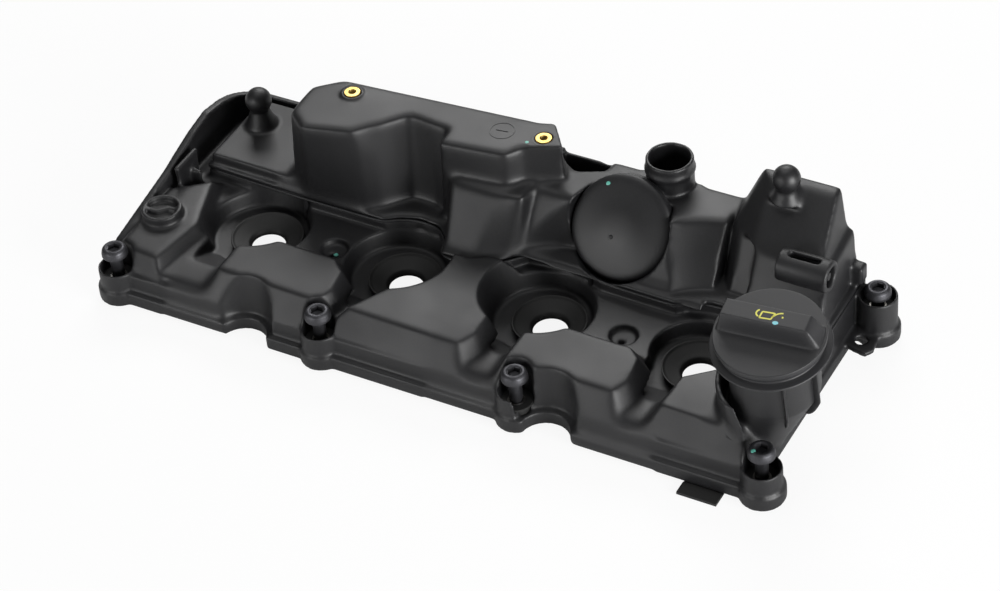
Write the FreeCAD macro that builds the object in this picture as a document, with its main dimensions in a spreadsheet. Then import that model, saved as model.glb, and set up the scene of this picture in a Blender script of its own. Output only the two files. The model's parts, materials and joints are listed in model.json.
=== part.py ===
import FreeCAD, Part
import math
import os
import re
import Sketcher
from FreeCAD import Placement, Rotation, Vector

# Engine valve cover for a four-cylinder engine, with its oil separator, filler neck and seals.
# X runs along the engine, Y from the bolt side to the separator side, Z up.
# The origin is on the face that seals on the cylinder head, midway between the inner injector
# wells and on the line of the injectors.

doc = FreeCAD.newDocument("engine_valve_cover")
sheet = doc.addObject("Spreadsheet::Sheet", "sizes")

SIZES = {
    # Injector wells
    "well_pitch": 88.0,
    "well_floor": 14.0,
    "well_hole_radius": 12.4,
    "pool_floor_radius": 26.6,
    "pool_mouth_radius": 33.0,
    "pool_shift_left": 5.6,
    "pool_shift_back": 2.0,
    "seal_lip_radius": 9.4,
    "seal_rim_radius": 20.4,
    "seal_rim_height": 4.6,
    "seal_wall": 2.2,
    "seal_clearance": 0.05,
    "seal_spigot_drop": 1.6,
    # Flange and walls
    "front_edge": -65.0,
    "rear_edge": 92.0,
    "left_edge": -203.0,
    "right_edge": 190.0,
    "gasket_proud": 1.0,
    "flange_top": 9.6,
    "ledge_width": 3.6,
    "wall_top": 20.0,
    "deck_height": 24.0,
    "plateau_height": 32.0,
    "hill_height": 36.0,
    "hill_slope": 30.0,
    "wall": 3.0,
    "seam_height": 30.0,
    "seam_flange": 3.4,
    "corner_radius": 20.0,
    "front_corner_radius": 9.0,
    # Notches in the front edge
    "notch_radius": 13.5,
    "notch_left_x": -108.0,
    "notch_right_x": 75.5,
    "notch_depth": 3.2,
    # Bolts and their bosses
    "bolt_front_y": -57.5,
    "bolt_rear_y": 94.4,
    "bolt_corner_x": 193.3,
    "bolt_second_x": -63.7,
    "bolt_third_x": 54.4,
    "bolt_side_x": 198.5,
    "bolt_side_y": 77.0,
    "boss_radius": 10.6,
    "lobe_radius": 12.4,
    "boss_height": 22.0,
    "side_boss_height": 29.0,
    "cup_radius": 9.2,
    "cup_depth": 9.0,
    "grommet_radius": 7.4,
    "grommet_clearance": 0.1,
    "grommet_height": 9.0,
    "grommet_lip": 1.4,
    "sleeve_radius": 4.7,
    "sleeve_bore": 3.6,
    "shank_radius": 3.0,
    "collar_radius": 3.5,
    "head_radius": 7.2,
    "head_height": 5.0,
    "socket_radius": 3.1,
    "socket_depth": 3.2,
    "bolt_length": 29.0,
    # Gasket
    "gasket_width": 4.2,
    "gasket_inset": 2.6,
    "groove_depth": 2.7,
    "groove_clearance": 0.15,
    "tab_left_x": 153.0,
    "tab_width": 22.0,
    "tab_reach": 8.4,
    "tab_thickness": 1.6,
    # Left rim and its fittings
    "rim_thickness": 5.0,
    "rim_low": 24.0,
    "rim_high": 49.0,
    "clip_boss_radius": 11.4,
    "clip_boss_x": -185.0,
    "clip_boss_y": -21.3,
    "clip_recess_depth": 3.5,
    "clip_boss_height": 37.5,
    # Separator chamber
    "left_block_height": 40.0,
    "chamber_height": 84.0,
    "facet_height": 64.0,
    "roof_height": 63.0,
    "right_block_height": 87.4,
    "right_block_split": 62.0,
    "shell_rear": 86.0,
    "scallop_radius": 43.0,
    "shell_wall": 3.2,
    "pocket_share": 0.6,
    "hollow_below_top": 11.0,
    "impactor_share": 0.58,
    "baffle_pitch": 14.0,
    "baffle_slot": 3.0,
    "drain_y": 68.0,
    # Breather stub
    "stub_x": 77.8,
    "stub_y": 80.6,
    "stub_top": 80.6,
    "stub_radius": 13.0,
    "stub_bore": 11.0,
    "bead_radius": 14.0,
    "bead_height": 73.6,
    # Pressure valve
    "valve_x": 63.6,
    "valve_y": 47.7,
    "valve_z": 51.8,
    "valve_tilt": 55.0,
    "valve_radius": 29.0,
    "valve_cap_height": 6.0,
    "valve_cap_wall": 1.8,
    "valve_bore": 24.0,
    "valve_depth": 13.0,
    "valve_travel": 3.0,
    "plate_radius": 15.0,
    "plate_thickness": 2.0,
    "membrane_thickness": 0.9,
    "seat_radius": 9.0,
    "spring_wire": 0.7,
    "spring_turns": 3.5,
    # Clip tube on the right block
    "clip_y": 40.0,
    "clip_radius": 8.8,
    "clip_bore_radius": 5.6,
    "clip_slot": 4.8,
    # Ball studs
    "ball_left_x": -170.6,
    "ball_left_y": 62.0,
    "ball_left_z": 57.0,
    "ball_right_x": 149.5,
    "ball_right_y": 71.5,
    "ball_right_z": 95.0,
    "ball_radius": 7.6,
    "ball_neck": 5.0,
    # Oil filler neck and cap
    "neck_x": 188.0,
    "neck_y": -24.0,
    "neck_base": 25.0,
    "neck_lean": 9.0,
    "neck_flare": 26.0,
    "neck_root_x": 176.5,
    "neck_root_y": -26.0,
    "neck_root_radius": 14.0,
    "neck_radius": 23.0,
    "neck_bore": 19.0,
    "neck_length": 62.0,
    "ledge_bore": 16.4,
    "ledge_depth": 6.0,
    "ledge_thickness": 3.0,
    "cap_radius": 30.3,
    "cap_skirt_height": 9.0,
    "cap_disc_thickness": 3.2,
    "cap_seat_gap": 0.3,
    "plug_radius": 15.6,
    "lug_radius": 18.4,
    "lug_thickness": 2.6,
    "grip_width": 12.4,
    "grip_height": 10.0,
    "grip_reach": 27.0,
    "grip_crest_reach": 18.0,
    "cap_turn": 8.0,
    # Brass inserts
    "insert_left_x": -103.6,
    "insert_right_x": 11.4,
    "insert_left_y": 58.2,
    "insert_right_y": 64.3,
    "insert_radius": 4.6,
    "insert_bore": 2.1,
    "insert_length": 10.0,
    "insert_boss_radius": 6.2,
    # Bracket tab
    "bracket_hole_x": 196.0,
    "bracket_hole_y": 61.0,
    "bracket_hole_radius": 3.4,
    "bracket_thickness": 3.0,
}

for row, (alias, number) in enumerate(SIZES.items(), start=1):
    sheet.set("A%d" % row, alias.replace("_", " "))
    sheet.set("B%d" % row, repr(number))
    sheet.setAlias("B%d" % row, alias)
doc.recompute()

WELLS = range(4)


def tied(expression):
    """An expression on the sheet's sizes, from plain size names."""
    return re.sub(r"[a-z][a-z_]*", lambda word: "sizes." + word.group(), str(expression))


def value(expression):
    """The number that an expression gives now."""
    result = sheet.evalExpression(tied(expression))
    return float(getattr(result, "Value", result))


def well(index):
    """The X of an injector well, as an expression."""
    return "%.1f * well_pitch" % (index - 1.5)


def tie(item, **properties):
    """Bind properties of an object to expressions on the sheet."""
    for name, expression in properties.items():
        item.setExpression(name, tied(expression))
    return item


def place(item, x=0, y=0, z=0):
    """Bind an object's place to expressions on the sheet."""
    item.setExpression("Placement.Base.x", tied(x))
    item.setExpression("Placement.Base.y", tied(y))
    item.setExpression("Placement.Base.z", tied(z))
    return item


def lean(item, axis, degrees):
    """Turn an object about its own origin."""
    item.Placement = Placement(item.Placement.Base, Rotation(axis, degrees))
    return item


def outline(name, corners, body=None):
    """A closed sketch whose corners are each tied to the sheet."""
    if body is None:
        sketch = doc.addObject("Sketcher::SketchObject", name)
    else:
        sketch = body.newObject("Sketcher::SketchObject", name)
    points = [Vector(value(across), value(along), 0) for across, along in corners]
    count = len(points)
    for index in range(count):
        sketch.addGeometry(Part.LineSegment(points[index], points[(index + 1) % count]), False)
    for index in range(count):
        sketch.addConstraint(Sketcher.Constraint("Coincident", index, 2, (index + 1) % count, 1))
    for index, (across, along) in enumerate(corners):
        for kind, expression, now in (
            ("DistanceX", across, points[index].x),
            ("DistanceY", along, points[index].y),
        ):
            number = sketch.addConstraint(Sketcher.Constraint(kind, -1, 1, index, 1, now))
            sketch.setExpression("Constraints[%d]" % number, tied(expression))
    return sketch


def prism(name, corners, low, high, taper=None):
    """An upright prism between two heights, widening downwards where it has a taper."""
    sketch = place(outline(name + "_outline", corners), z=high)
    solid = doc.addObject("Part::Extrusion", name)
    solid.Base = sketch
    solid.DirMode = "Custom"
    solid.Dir = Vector(0, 0, -1)
    solid.Solid = True
    tie(solid, LengthFwd="(%s) - (%s)" % (high, low))
    if taper is not None:
        tie(solid, TaperAngle=taper)
    return solid


def side_prism(name, corners, left, right):
    """A prism along X from an outline in Y and Z."""
    sketch = outline(name + "_outline", corners)
    sketch.Placement = Placement(
        Vector(), Rotation(Vector(0, 1, 0), Vector(0, 0, 1), Vector(1, 0, 0), "XYZ"),
    )
    sketch.setExpression("Placement.Base.x", tied(left))
    solid = doc.addObject("Part::Extrusion", name)
    solid.Base = sketch
    solid.DirMode = "Custom"
    solid.Dir = Vector(1, 0, 0)
    solid.Solid = True
    tie(solid, LengthFwd="(%s) - (%s)" % (right, left))
    return solid


def loft(name, low_corners, low, high_corners, high):
    """A straight-sided solid between two outlines with matching corners."""
    solid = doc.addObject("Part::Loft", name)
    solid.Sections = [
        place(outline(name + "_low", low_corners), z=low),
        place(outline(name + "_high", high_corners), z=high),
    ]
    solid.Solid = True
    solid.Ruled = True
    return solid


def funnel(name, low_radius, x, y, low, high_radius, axis, along):
    """A solid from a level circle up to a circle on a leaning axis."""
    foot = doc.addObject("Part::Circle", name + "_foot")
    tie(foot, Radius=low_radius)
    place(foot, x, y, low)
    mouth = doc.addObject("Part::Circle", name + "_mouth")
    tie(mouth, Radius=high_radius)
    on_axis(mouth, axis, along)
    solid = doc.addObject("Part::Loft", name)
    solid.Sections = [foot, mouth]
    solid.Solid = True
    solid.Ruled = True
    return solid


def cylinder(name, radius, low, high, x=0, y=0):
    """An upright cylinder between two heights."""
    solid = doc.addObject("Part::Cylinder", name)
    tie(solid, Radius=radius, Height="(%s) - (%s)" % (high, low))
    return place(solid, x, y, low)


def cone(name, low_radius, high_radius, low, high, x=0, y=0):
    """An upright cone frustum between two heights."""
    solid = doc.addObject("Part::Cone", name)
    tie(solid, Radius1=low_radius, Radius2=high_radius, Height="(%s) - (%s)" % (high, low))
    return place(solid, x, y, low)


def box(name, left, right, front, back, low, high):
    """A box between two places on each axis."""
    solid = doc.addObject("Part::Box", name)
    tie(
        solid,
        Length="(%s) - (%s)" % (right, left),
        Width="(%s) - (%s)" % (back, front),
        Height="(%s) - (%s)" % (high, low),
    )
    return place(solid, left, front, low)


def fuse(name, shapes):
    """One solid from several that meet."""
    solid = doc.addObject("Part::MultiFuse", name)
    solid.Shapes = shapes
    solid.Refine = True
    return solid


def cut(name, base, tools):
    """A solid with others taken away."""
    tool = tools[0] if len(tools) == 1 else fuse(name + "_tools", tools)
    solid = doc.addObject("Part::Cut", name)
    solid.Base = base
    solid.Tool = tool
    solid.Refine = True
    return solid


def common(name, shapes):
    """The part that several solids share."""
    solid = doc.addObject("Part::MultiCommon", name)
    solid.Shapes = shapes
    solid.Refine = True
    return solid


def group(name, shapes):
    """Separate solids kept together."""
    solid = doc.addObject("Part::Compound", name)
    solid.Links = shapes
    return solid


def origin_plane(body, role):
    """A body's own origin plane."""
    return next(item for item in body.Origin.OriginFeatures if item.Role == role)


def turned_body(name, corners):
    """A body revolved about its own Z from an outline in radius and height."""
    body = doc.addObject("PartDesign::Body", name)
    sketch = outline(name + "_profile", corners, body)
    sketch.AttachmentSupport = [(origin_plane(body, "XZ_Plane"), "")]
    sketch.MapMode = "FlatFace"
    turn = body.newObject("PartDesign::Revolution", name + "_turn")
    turn.Profile = sketch
    turn.ReferenceAxis = (sketch, ["V_Axis"])
    turn.Angle = 360.0
    body.Tip = turn
    return body


def copy_at(name, source, x, y, z):
    """A copy of a solid at a place of its own."""
    link = doc.addObject("Part::Compound", name)
    link.Links = [source]
    return place(link, x, y, z)


# Leaning axes, each by its foot and the angle at which it leans towards the front.
AXES = {
    "neck": ("neck_x", "neck_y", "neck_base", "neck_lean"),
    "valve": ("valve_x", "valve_y", "valve_z", "valve_tilt"),
}

# The eight bolts: three on the front edge, the two right corners, the left corner and the rear.
# Each has its X, its Y and the height of its boss.
BOLTS = [
    ("-bolt_corner_x", "bolt_front_y", "boss_height"),
    ("bolt_second_x", "bolt_front_y", "boss_height"),
    ("bolt_third_x", "bolt_front_y", "boss_height"),
    ("bolt_corner_x", "bolt_front_y", "boss_height"),
    ("bolt_side_x", "bolt_side_y", "side_boss_height"),
    ("-1.5 * well_pitch + 4", "bolt_rear_y", "boss_height"),
    ("-0.25 * well_pitch", "bolt_rear_y", "boss_height"),
    ("1.2 * well_pitch", "bolt_rear_y", "boss_height"),
]


def rounded_plate(name, inset, low, high):
    """The flange's outline, set in by a distance, as a plate with rounded corners."""
    corners = [
        ("left_edge + (%s)" % inset, "front_edge + (%s)" % inset),
        ("right_edge - (%s)" % inset, "front_edge + (%s)" % inset),
        ("right_edge - (%s)" % inset, "rear_edge - (%s)" % inset),
        ("left_edge + (%s)" % inset, "rear_edge - (%s)" % inset),
    ]
    plate = prism(name + "_plate", corners, low, high)
    doc.recompute()
    rounded = doc.addObject("Part::Fillet", name)
    rounded.Base = plate
    edges = []
    for number, edge in enumerate(plate.Shape.Edges, start=1):
        start, end = edge.Vertexes[0].Point, edge.Vertexes[-1].Point
        if abs(start.z - end.z) < abs(value(high) - value(low)) / 2:
            continue
        at_left_rear = start.x < 0 < start.y
        radius = value("corner_radius" if at_left_rear else "front_corner_radius") - value(inset)
        edges.append((number, max(radius, 1.0), max(radius, 1.0)))
    rounded.Edges = edges
    return rounded


def boss_columns(name, radius, low, high=None):
    """A column at each bolt, to one height or to the height of its own boss."""
    columns = []
    for index, (x, y, top) in enumerate(BOLTS):
        columns.append(cylinder("%s_%d" % (name, index), radius, low, high or top, x, y))
    return columns


# Lower moulding
flange = fuse(
    "flange",
    [rounded_plate("flange_edge", "0", "gasket_proud", "flange_top")]
    + boss_columns("flange_lobe", "lobe_radius", "gasket_proud", "flange_top"),
)
upstand = rounded_plate("upstand", "ledge_width", "flange_top", "wall_top")
shoulder = rounded_plate("shoulder", "ledge_width + 4", "wall_top", "deck_height")


def hill(name, index, corners, height):
    """A flat-topped rise over the camshaft bearings, beside an injector well."""
    placed = [("%s + (%s)" % (well(index), dx), y) for dx, y in corners]
    return prism(name, placed, "wall_top", height, "hill_slope")


NARROW_HILL = [(2, -51), (64, -52), (68, -42), (65, -25), (58, -19), (14, -18), (2, -30)]
WIDE_HILL = [(-5, -51), (62, -52), (67, -42), (66, -23), (58, -5), (54, 16), (22, 16), (19, -2), (7, -29)]
LAST_HILL = [(2, -51), (48, -52), (50, -10), (46, 6), (36, 8), (20, -14), (4, -28)]
hills = [
    hill("hill_one", 0, NARROW_HILL, "hill_height"),
    hill("hill_two", 1, WIDE_HILL, "hill_height"),
    hill("hill_three", 2, NARROW_HILL, "hill_height"),
    hill("hill_four", 3, LAST_HILL, "hill_height"),
]
left_plateau = prism(
    "left_plateau",
    [
        ("left_edge + 9", "front_edge + 14"),
        ("left_edge + 34", "front_edge + 12"),
        ("left_edge + 39", "front_edge + 45"),
        ("left_edge + 33", "front_edge + 62"),
        ("left_edge + 27", "front_edge + 80"),
        ("left_edge + 9", "front_edge + 66"),
    ],
    "wall_top",
    "plateau_height",
    "hill_slope",
)

# The seam, where the separator shell is welded on, winds round the injector wells.
SEAM = [
    ("left_edge + 17", "26"),
    (well(0) + " + 10", "24"),
    (well(1) + " - 26", "24"),
    (well(1) + " - 19", "29"),
    (well(1) + " - 8", "32.5"),
    (well(1) + " + 5", "31"),
    (well(1) + " + 13", "23"),
    (well(1) + " + 16", "11"),
    (well(1) + " + 35", "11"),
    (well(1) + " + 50", "19"),
    (well(2) + " - 28", "31"),
    (well(2) + " - 6", "33"),
    (well(2) + " + 8", "30"),
    (well(2) + " + 18", "26"),
    (well(3) + " - 26", "25"),
    (well(3) + " - 20", "30"),
    (well(3) + " - 8", "33"),
    (well(3) + " + 20", "33"),
    (well(3) + " + 30", "28"),
    ("right_edge - 2", "28"),
    ("right_edge - 2", "shell_rear"),
    ("left_edge + 17", "shell_rear"),
]
seam_step = prism("seam_step", SEAM, "flange_top", "seam_height")

bosses = boss_columns("boss", "boss_radius", "gasket_proud")

# The rim rises along the left end and round the rear corner.
rim_ring = cut(
    "rim_ring",
    rounded_plate("rim_outer", "ledge_width - 2.4", "flange_top", "rim_high + 10"),
    [rounded_plate("rim_inner", "ledge_width - 2.4 + rim_thickness", "flange_top - 1", "rim_high + 11")],
)
rim_slope = side_prism(
    "rim_slope",
    [
        ("front_edge + 10", "flange_top"),
        ("rear_edge + 5", "flange_top"),
        ("rear_edge + 5", "rim_high - 13"),
        ("rear_edge - 14", "rim_high - 7"),
        ("rear_edge - 27", "rim_high - 2.5"),
        ("rear_edge - 42", "rim_high"),
        ("front_edge + 98", "rim_high - 3"),
        ("front_edge + 70", "rim_low + 14"),
        ("front_edge + 20", "rim_low + 4"),
        ("front_edge + 10", "rim_low - 3"),
    ],
    "left_edge - 5",
    "left_edge + 52",
)
rim = common("rim", [rim_ring, rim_slope])

post_plate = box(
    "post_plate", "left_edge + 9.5", "left_edge + 12.5", "5", "26", "deck_height - 1", "rim_low + 19",
)
post_web = box(
    "post_web", "left_edge + 11", "left_edge + 19", "16", "19", "deck_height - 1", "rim_low + 11",
)
clip_boss = cylinder(
    "clip_boss", "clip_boss_radius", "deck_height", "clip_boss_height", "clip_boss_x", "clip_boss_y",
)

bracket = prism(
    "bracket",
    [
        ("right_edge - 8", "bracket_hole_y - 3"),
        ("bracket_hole_x - 3", "bracket_hole_y - 8"),
        ("bracket_hole_x + 6", "bracket_hole_y - 10"),
        ("bracket_hole_x + 9", "bracket_hole_y - 5"),
        ("bracket_hole_x + 6.5", "bracket_hole_y + 14"),
        ("right_edge - 8", "bracket_hole_y + 14"),
    ],
    "flange_top - bracket_thickness",
    "flange_top",
)


def on_axis(item, axis, along):
    """Put an upright solid on a leaning axis, at a distance up it."""
    base_x, base_y, base_z, angle = AXES[axis]
    item.Placement = Placement(Vector(), Rotation(Vector(1, 0, 0), value(angle)))
    reach, turn = tied("(%s)" % along), tied(angle)
    item.setExpression("Placement.Base.x", tied(base_x))
    item.setExpression("Placement.Base.y", "%s - %s * sin(%s)" % (tied(base_y), reach, turn))
    item.setExpression("Placement.Base.z", "%s + %s * cos(%s)" % (tied(base_z), reach, turn))
    item.setExpression("Placement.Rotation.Angle", turn)
    return item


def leaning_cylinder(name, axis, radius, low, high):
    """A cylinder on a leaning axis, between two distances up it."""
    solid = doc.addObject("Part::Cylinder", name)
    tie(solid, Radius=radius, Height="(%s) - (%s)" % (high, low))
    return on_axis(solid, axis, low)


def neck_cylinder(name, radius, low, high):
    """A cylinder on the filler neck's axis."""
    return leaning_cylinder(name, "neck", radius, low, high)


def neck_bar(name, half_length, half_width, low, high, turn):
    """A bar across the neck's axis, turned about it."""
    solid = doc.addObject("Part::Box", name)
    tie(
        solid,
        Length="2 * (%s)" % half_length,
        Width="2 * (%s)" % half_width,
        Height="(%s) - (%s)" % (high, low),
    )
    angle, spin = value("neck_lean"), value(turn)
    upright = Rotation(Vector(1, 0, 0), angle).multiply(Rotation(Vector(0, 0, 1), spin))
    foot = Vector(value("neck_x"), value("neck_y"), value("neck_base")) + upright.multVec(
        Vector(-value(half_length), -value(half_width), value(low))
    )
    solid.Placement = Placement(foot, upright)
    return solid


neck_tube = fuse(
    "neck_tube",
    [
        neck_cylinder("neck_upper", "neck_radius", "neck_flare", "neck_length"),
        funnel(
            "neck_lower",
            "neck_root_radius",
            "neck_root_x",
            "neck_root_y",
            "flange_top",
            "neck_radius",
            "neck",
            "neck_flare",
        ),
    ],
)
drip_rim = neck_cylinder("drip_rim", "neck_radius + 7", "-4", "neck_length / 2")
drip_hollow = neck_cylinder("drip_hollow", "neck_radius + 4.5", "-6", "neck_length / 2 + 1")
drip_side = box(
    "drip_side", "neck_x - 40", "neck_x - 6", "neck_y - 30", "neck_y + 26", "neck_base - 6", "neck_base + 40"
)
drip_wall = common("drip_wall", [cut("drip_ring", drip_rim, [drip_hollow]), drip_side])
neck_rib = loft(
    "neck_rib",
    [
        ("neck_root_x", "neck_y - 4"),
        ("right_edge", "neck_y - 4"),
        ("right_edge", "neck_y - 2.2"),
        ("neck_root_x", "neck_y - 2.2"),
    ],
    "flange_top - 2",
    [
        ("neck_x + 4", "neck_y - 8"),
        ("neck_x + 20.5", "neck_y - 8"),
        ("neck_x + 20.5", "neck_y - 6.2"),
        ("neck_x + 4", "neck_y - 6.2"),
    ],
    "neck_base + 30",
)

housing_body = fuse(
    "housing_body",
    [flange, upstand, shoulder, seam_step, left_plateau, rim, post_plate, post_web, clip_boss, bracket]
    + hills
    + bosses
    + [neck_tube, drip_wall, neck_rib],
)

# Pools round the wells, the valleys that lead to them, notches and bolt cups.
pools = [
    cone(
        "pool_%d" % (index + 1),
        "pool_floor_radius",
        "pool_mouth_radius",
        "well_floor",
        "hill_height + 1",
        well(index) + " - pool_shift_left",
        "pool_shift_back",
    )
    for index in range(3)
]
pools.append(
    cone(
        "pool_4",
        "pool_floor_radius - 3",
        "pool_floor_radius",
        "well_floor",
        "hill_height + 1",
        well(3) + " - 3",
        "3",
    )
)
holes = [
    cylinder("well_hole_%d" % (index + 1), "well_hole_radius", "0", "well_floor + 1", well(index))
    for index in WELLS
]
valleys = [
    side_prism(
        "valley_%d" % (index + 1),
        [
            ("pool_shift_back - pool_floor_radius - 16", "deck_height + 0.2"),
            ("pool_shift_back - pool_floor_radius + 4", "well_floor"),
            ("pool_shift_back", "well_floor"),
            ("pool_shift_back", "deck_height + 0.2"),
        ],
        well(index) + " - pool_shift_left - 19",
        well(index) + " - pool_shift_left + 4",
    )
    for index in WELLS
]
notches = []
for side in ("left", "right"):
    notch_x = "notch_%s_x" % side
    notch_y = "front_edge - notch_depth"
    notches.append(cylinder("notch_" + side, "notch_radius", "0", "flange_top + 1", notch_x, notch_y))
    notches.append(
        cone(
            "notch_wall_" + side,
            "notch_radius + ledge_width",
            "notch_radius + ledge_width + 2",
            "flange_top",
            "hill_height + 2",
            notch_x,
            notch_y,
        )
    )
cups = [
    cylinder("cup_%d" % index, "cup_radius", "%s - cup_depth" % top, "hill_height + 5", x, y)
    for index, (x, y, top) in enumerate(BOLTS)
]
bolt_bores = boss_columns("bolt_bore", "grommet_radius", "0", "boss_height")
dishes = [
    cone(
        "dish_%d" % (index + 1),
        "7.2",
        "8.6",
        "deck_height - 3",
        "deck_height + 8",
        well(index) + " + well_pitch / 2",
        "0",
    )
    for index in (0, 2)
]
dish_pips = [
    cylinder(
        "dish_pip_%d" % (index + 1),
        "1.6",
        "deck_height - 6",
        "deck_height",
        well(index) + " + well_pitch / 2",
        "-2.5",
    )
    for index in (0, 2)
]


def wave_side(side, steps=6, half_length=10.0, half_width=1.7, swing=1.3):
    """One long side of the wavy web across the clip's boss, from one end to the other."""
    lean_across, lean_along = math.sin(math.radians(24)), math.cos(math.radians(24))
    corners = []
    for step in range(steps + 1):
        along = side * half_length * (1 - 2 * step / steps)
        across = side * half_width + swing * math.sin(math.pi * along / half_length * 1.5)
        corners.append(
            (
                "clip_boss_x + (%.3f)" % (along * lean_along - across * lean_across),
                "clip_boss_y + (%.3f)" % (along * lean_across + across * lean_along),
            )
        )
    return corners


clip_recess = cut(
    "clip_recess",
    cylinder(
        "clip_recess_round", "clip_boss_radius - 2.4", "clip_boss_height - clip_recess_depth", "clip_boss_height + 1",
        "clip_boss_x", "clip_boss_y",
    ),
    [
        prism(
            "clip_web", wave_side(1) + wave_side(-1), "clip_boss_height - clip_recess_depth - 1", "clip_boss_height - 0.8"
        )
    ],
)
neck_hollow = [
    on_axis(
        turned_body(
            "neck_bore_cut",
            [
                ("0", "neck_flare - 0.5"),
                ("neck_bore", "neck_flare - 0.5"),
                ("neck_bore", "neck_length - ledge_depth - ledge_thickness"),
                ("ledge_bore", "neck_length - ledge_depth - ledge_thickness"),
                ("ledge_bore", "neck_length - ledge_depth"),
                ("neck_bore", "neck_length - ledge_depth"),
                ("neck_bore", "neck_length + 1"),
                ("0", "neck_length + 1"),
            ],
        ),
        "neck",
        "0",
    ),
    funnel(
        "neck_funnel", "neck_root_radius - wall", "neck_root_x", "neck_root_y", "flange_top - 4",
        "neck_bore - 0.1", "neck", "neck_flare",
    ),
    neck_bar(
        "ledge_gap", "lug_radius + 0.3", "5.8", "neck_length - ledge_depth - ledge_thickness - 0.5",
        "neck_length - ledge_depth + 0.5", "cap_turn",
    ),
]
seal_rooms = [
    cylinder(
        "seal_room_%d" % (index + 1),
        "seal_rim_radius + 0.5",
        "well_floor",
        "well_floor + seal_rim_height + 1",
        well(index),
    )
    for index in WELLS
]
bracket_hole = cylinder(
    "bracket_hole", "bracket_hole_radius", "0", "flange_top + 2", "bracket_hole_x", "bracket_hole_y",
)


def gasket_ring(name, clearance, low, high):
    """The gasket's path: inside the flange edge, and inboard of each bolt."""
    outer = cut(
        name + "_outer",
        rounded_plate(name + "_outer_plate", "gasket_inset - %s" % clearance, low, high),
        [
            cylinder(
                name + "_around_%d" % index,
                "boss_radius + 0.6 - %s" % clearance,
                "%s - 1" % low,
                "%s + 1" % high,
                x,
                y,
            )
            for index, (x, y, top) in enumerate(BOLTS)
        ]
        + [
            cylinder(name + "_near_" + side, "notch_radius + 2.4 - %s" % clearance, "%s - 1" % low, "%s + 1" % high,
                     "notch_%s_x" % side, "front_edge - notch_depth")
            for side in ("left", "right")
        ],
    )
    inner = cut(
        name + "_inner",
        rounded_plate(
            name + "_inner_plate",
            "gasket_inset + gasket_width + %s" % clearance,
            "%s - 1" % low,
            "%s + 1" % high,
        ),
        [
            cylinder(name + "_inside_%d" % index, "boss_radius + 0.6 + gasket_width + %s" % clearance, "%s - 2" % low,
                     "%s + 2" % high, x, y)
            for index, (x, y, top) in enumerate(BOLTS)
        ]
        + [
            cylinder(name + "_past_" + side, "notch_radius + 2.4 + gasket_width + %s" % clearance, "%s - 2" % low,
                     "%s + 2" % high, "notch_%s_x" % side, "front_edge - notch_depth")
            for side in ("left", "right")
        ],
    )
    return cut(name, outer, [inner])


groove = gasket_ring("gasket_groove", "groove_clearance", "0", "gasket_proud + groove_depth")

# The hollow underside: one shallow space under the whole deck, and deeper ones under the hills.
flange_width = "gasket_inset + gasket_width + 4"
under_deck = rounded_plate("under_deck", flange_width, "0", "well_floor - wall")
under_notches = [
    cylinder("keep_notch_" + side, "notch_radius + gasket_width + 6", "0", "well_floor",
             "notch_%s_x" % side, "front_edge - notch_depth")
    for side in ("left", "right")
]
under_bosses = boss_columns("keep_boss", "boss_radius + gasket_width + 3", "0", "well_floor")
under_space = cut("under_space", under_deck, under_notches + under_bosses)


def under_hill(name, index, corners):
    """The hollow inside a hill, open below, with the hill's slope and the moulding's wall."""
    placed = [("%s + (%s)" % (well(index), dx), y) for dx, y in corners]
    return prism(name, placed, "well_floor - wall - 1", "hill_height - wall", "hill_slope / 3")


hill_hollows = [
    under_hill("under_hill_one", 0, [(40, -42), (58, -42), (56, -22), (44, -22)]),
    under_hill("under_hill_two", 1, [(38, -42), (54, -44), (52, -14), (42, 6), (34, 6), (30, -16)]),
    under_hill("under_hill_three", 2, [(40, -42), (58, -42), (56, -22), (44, -22)]),
]
chamber_hollow = box(
    "chamber_hollow", "left_edge + 24", "right_edge - 12", "39", "rear_edge - 12",
    "well_floor - wall - 1", "seam_height - wall",
)
lid_recess = leaning_cylinder("lid_recess", "valve", "valve_radius + 1", "-valve_cap_height - 1", "30")
valve_recess = leaning_cylinder(
    "valve_recess", "valve", "valve_radius - valve_cap_wall + 0.3", "-valve_depth - 7.4", "0",
)
drain_hole = cylinder("drain_hole", "4", "0", "seam_height + 1", "-0.2 * well_pitch", "drain_y")

hollowed_housing = cut(
    "hollowed_housing",
    housing_body,
    pools + holes + valleys + notches + cups + bolt_bores + dishes + dish_pips + [clip_recess]
    + [bracket_hole, groove, under_space, chamber_hollow, drain_hole, lid_recess, valve_recess]
    + hill_hollows
    + seal_rooms,
)
above_seam = prism("above_seam", SEAM, "seam_height", "chamber_height")
cover_housing = cut("cover_housing", hollowed_housing, neck_hollow + [above_seam])
doc.recompute()

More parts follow.
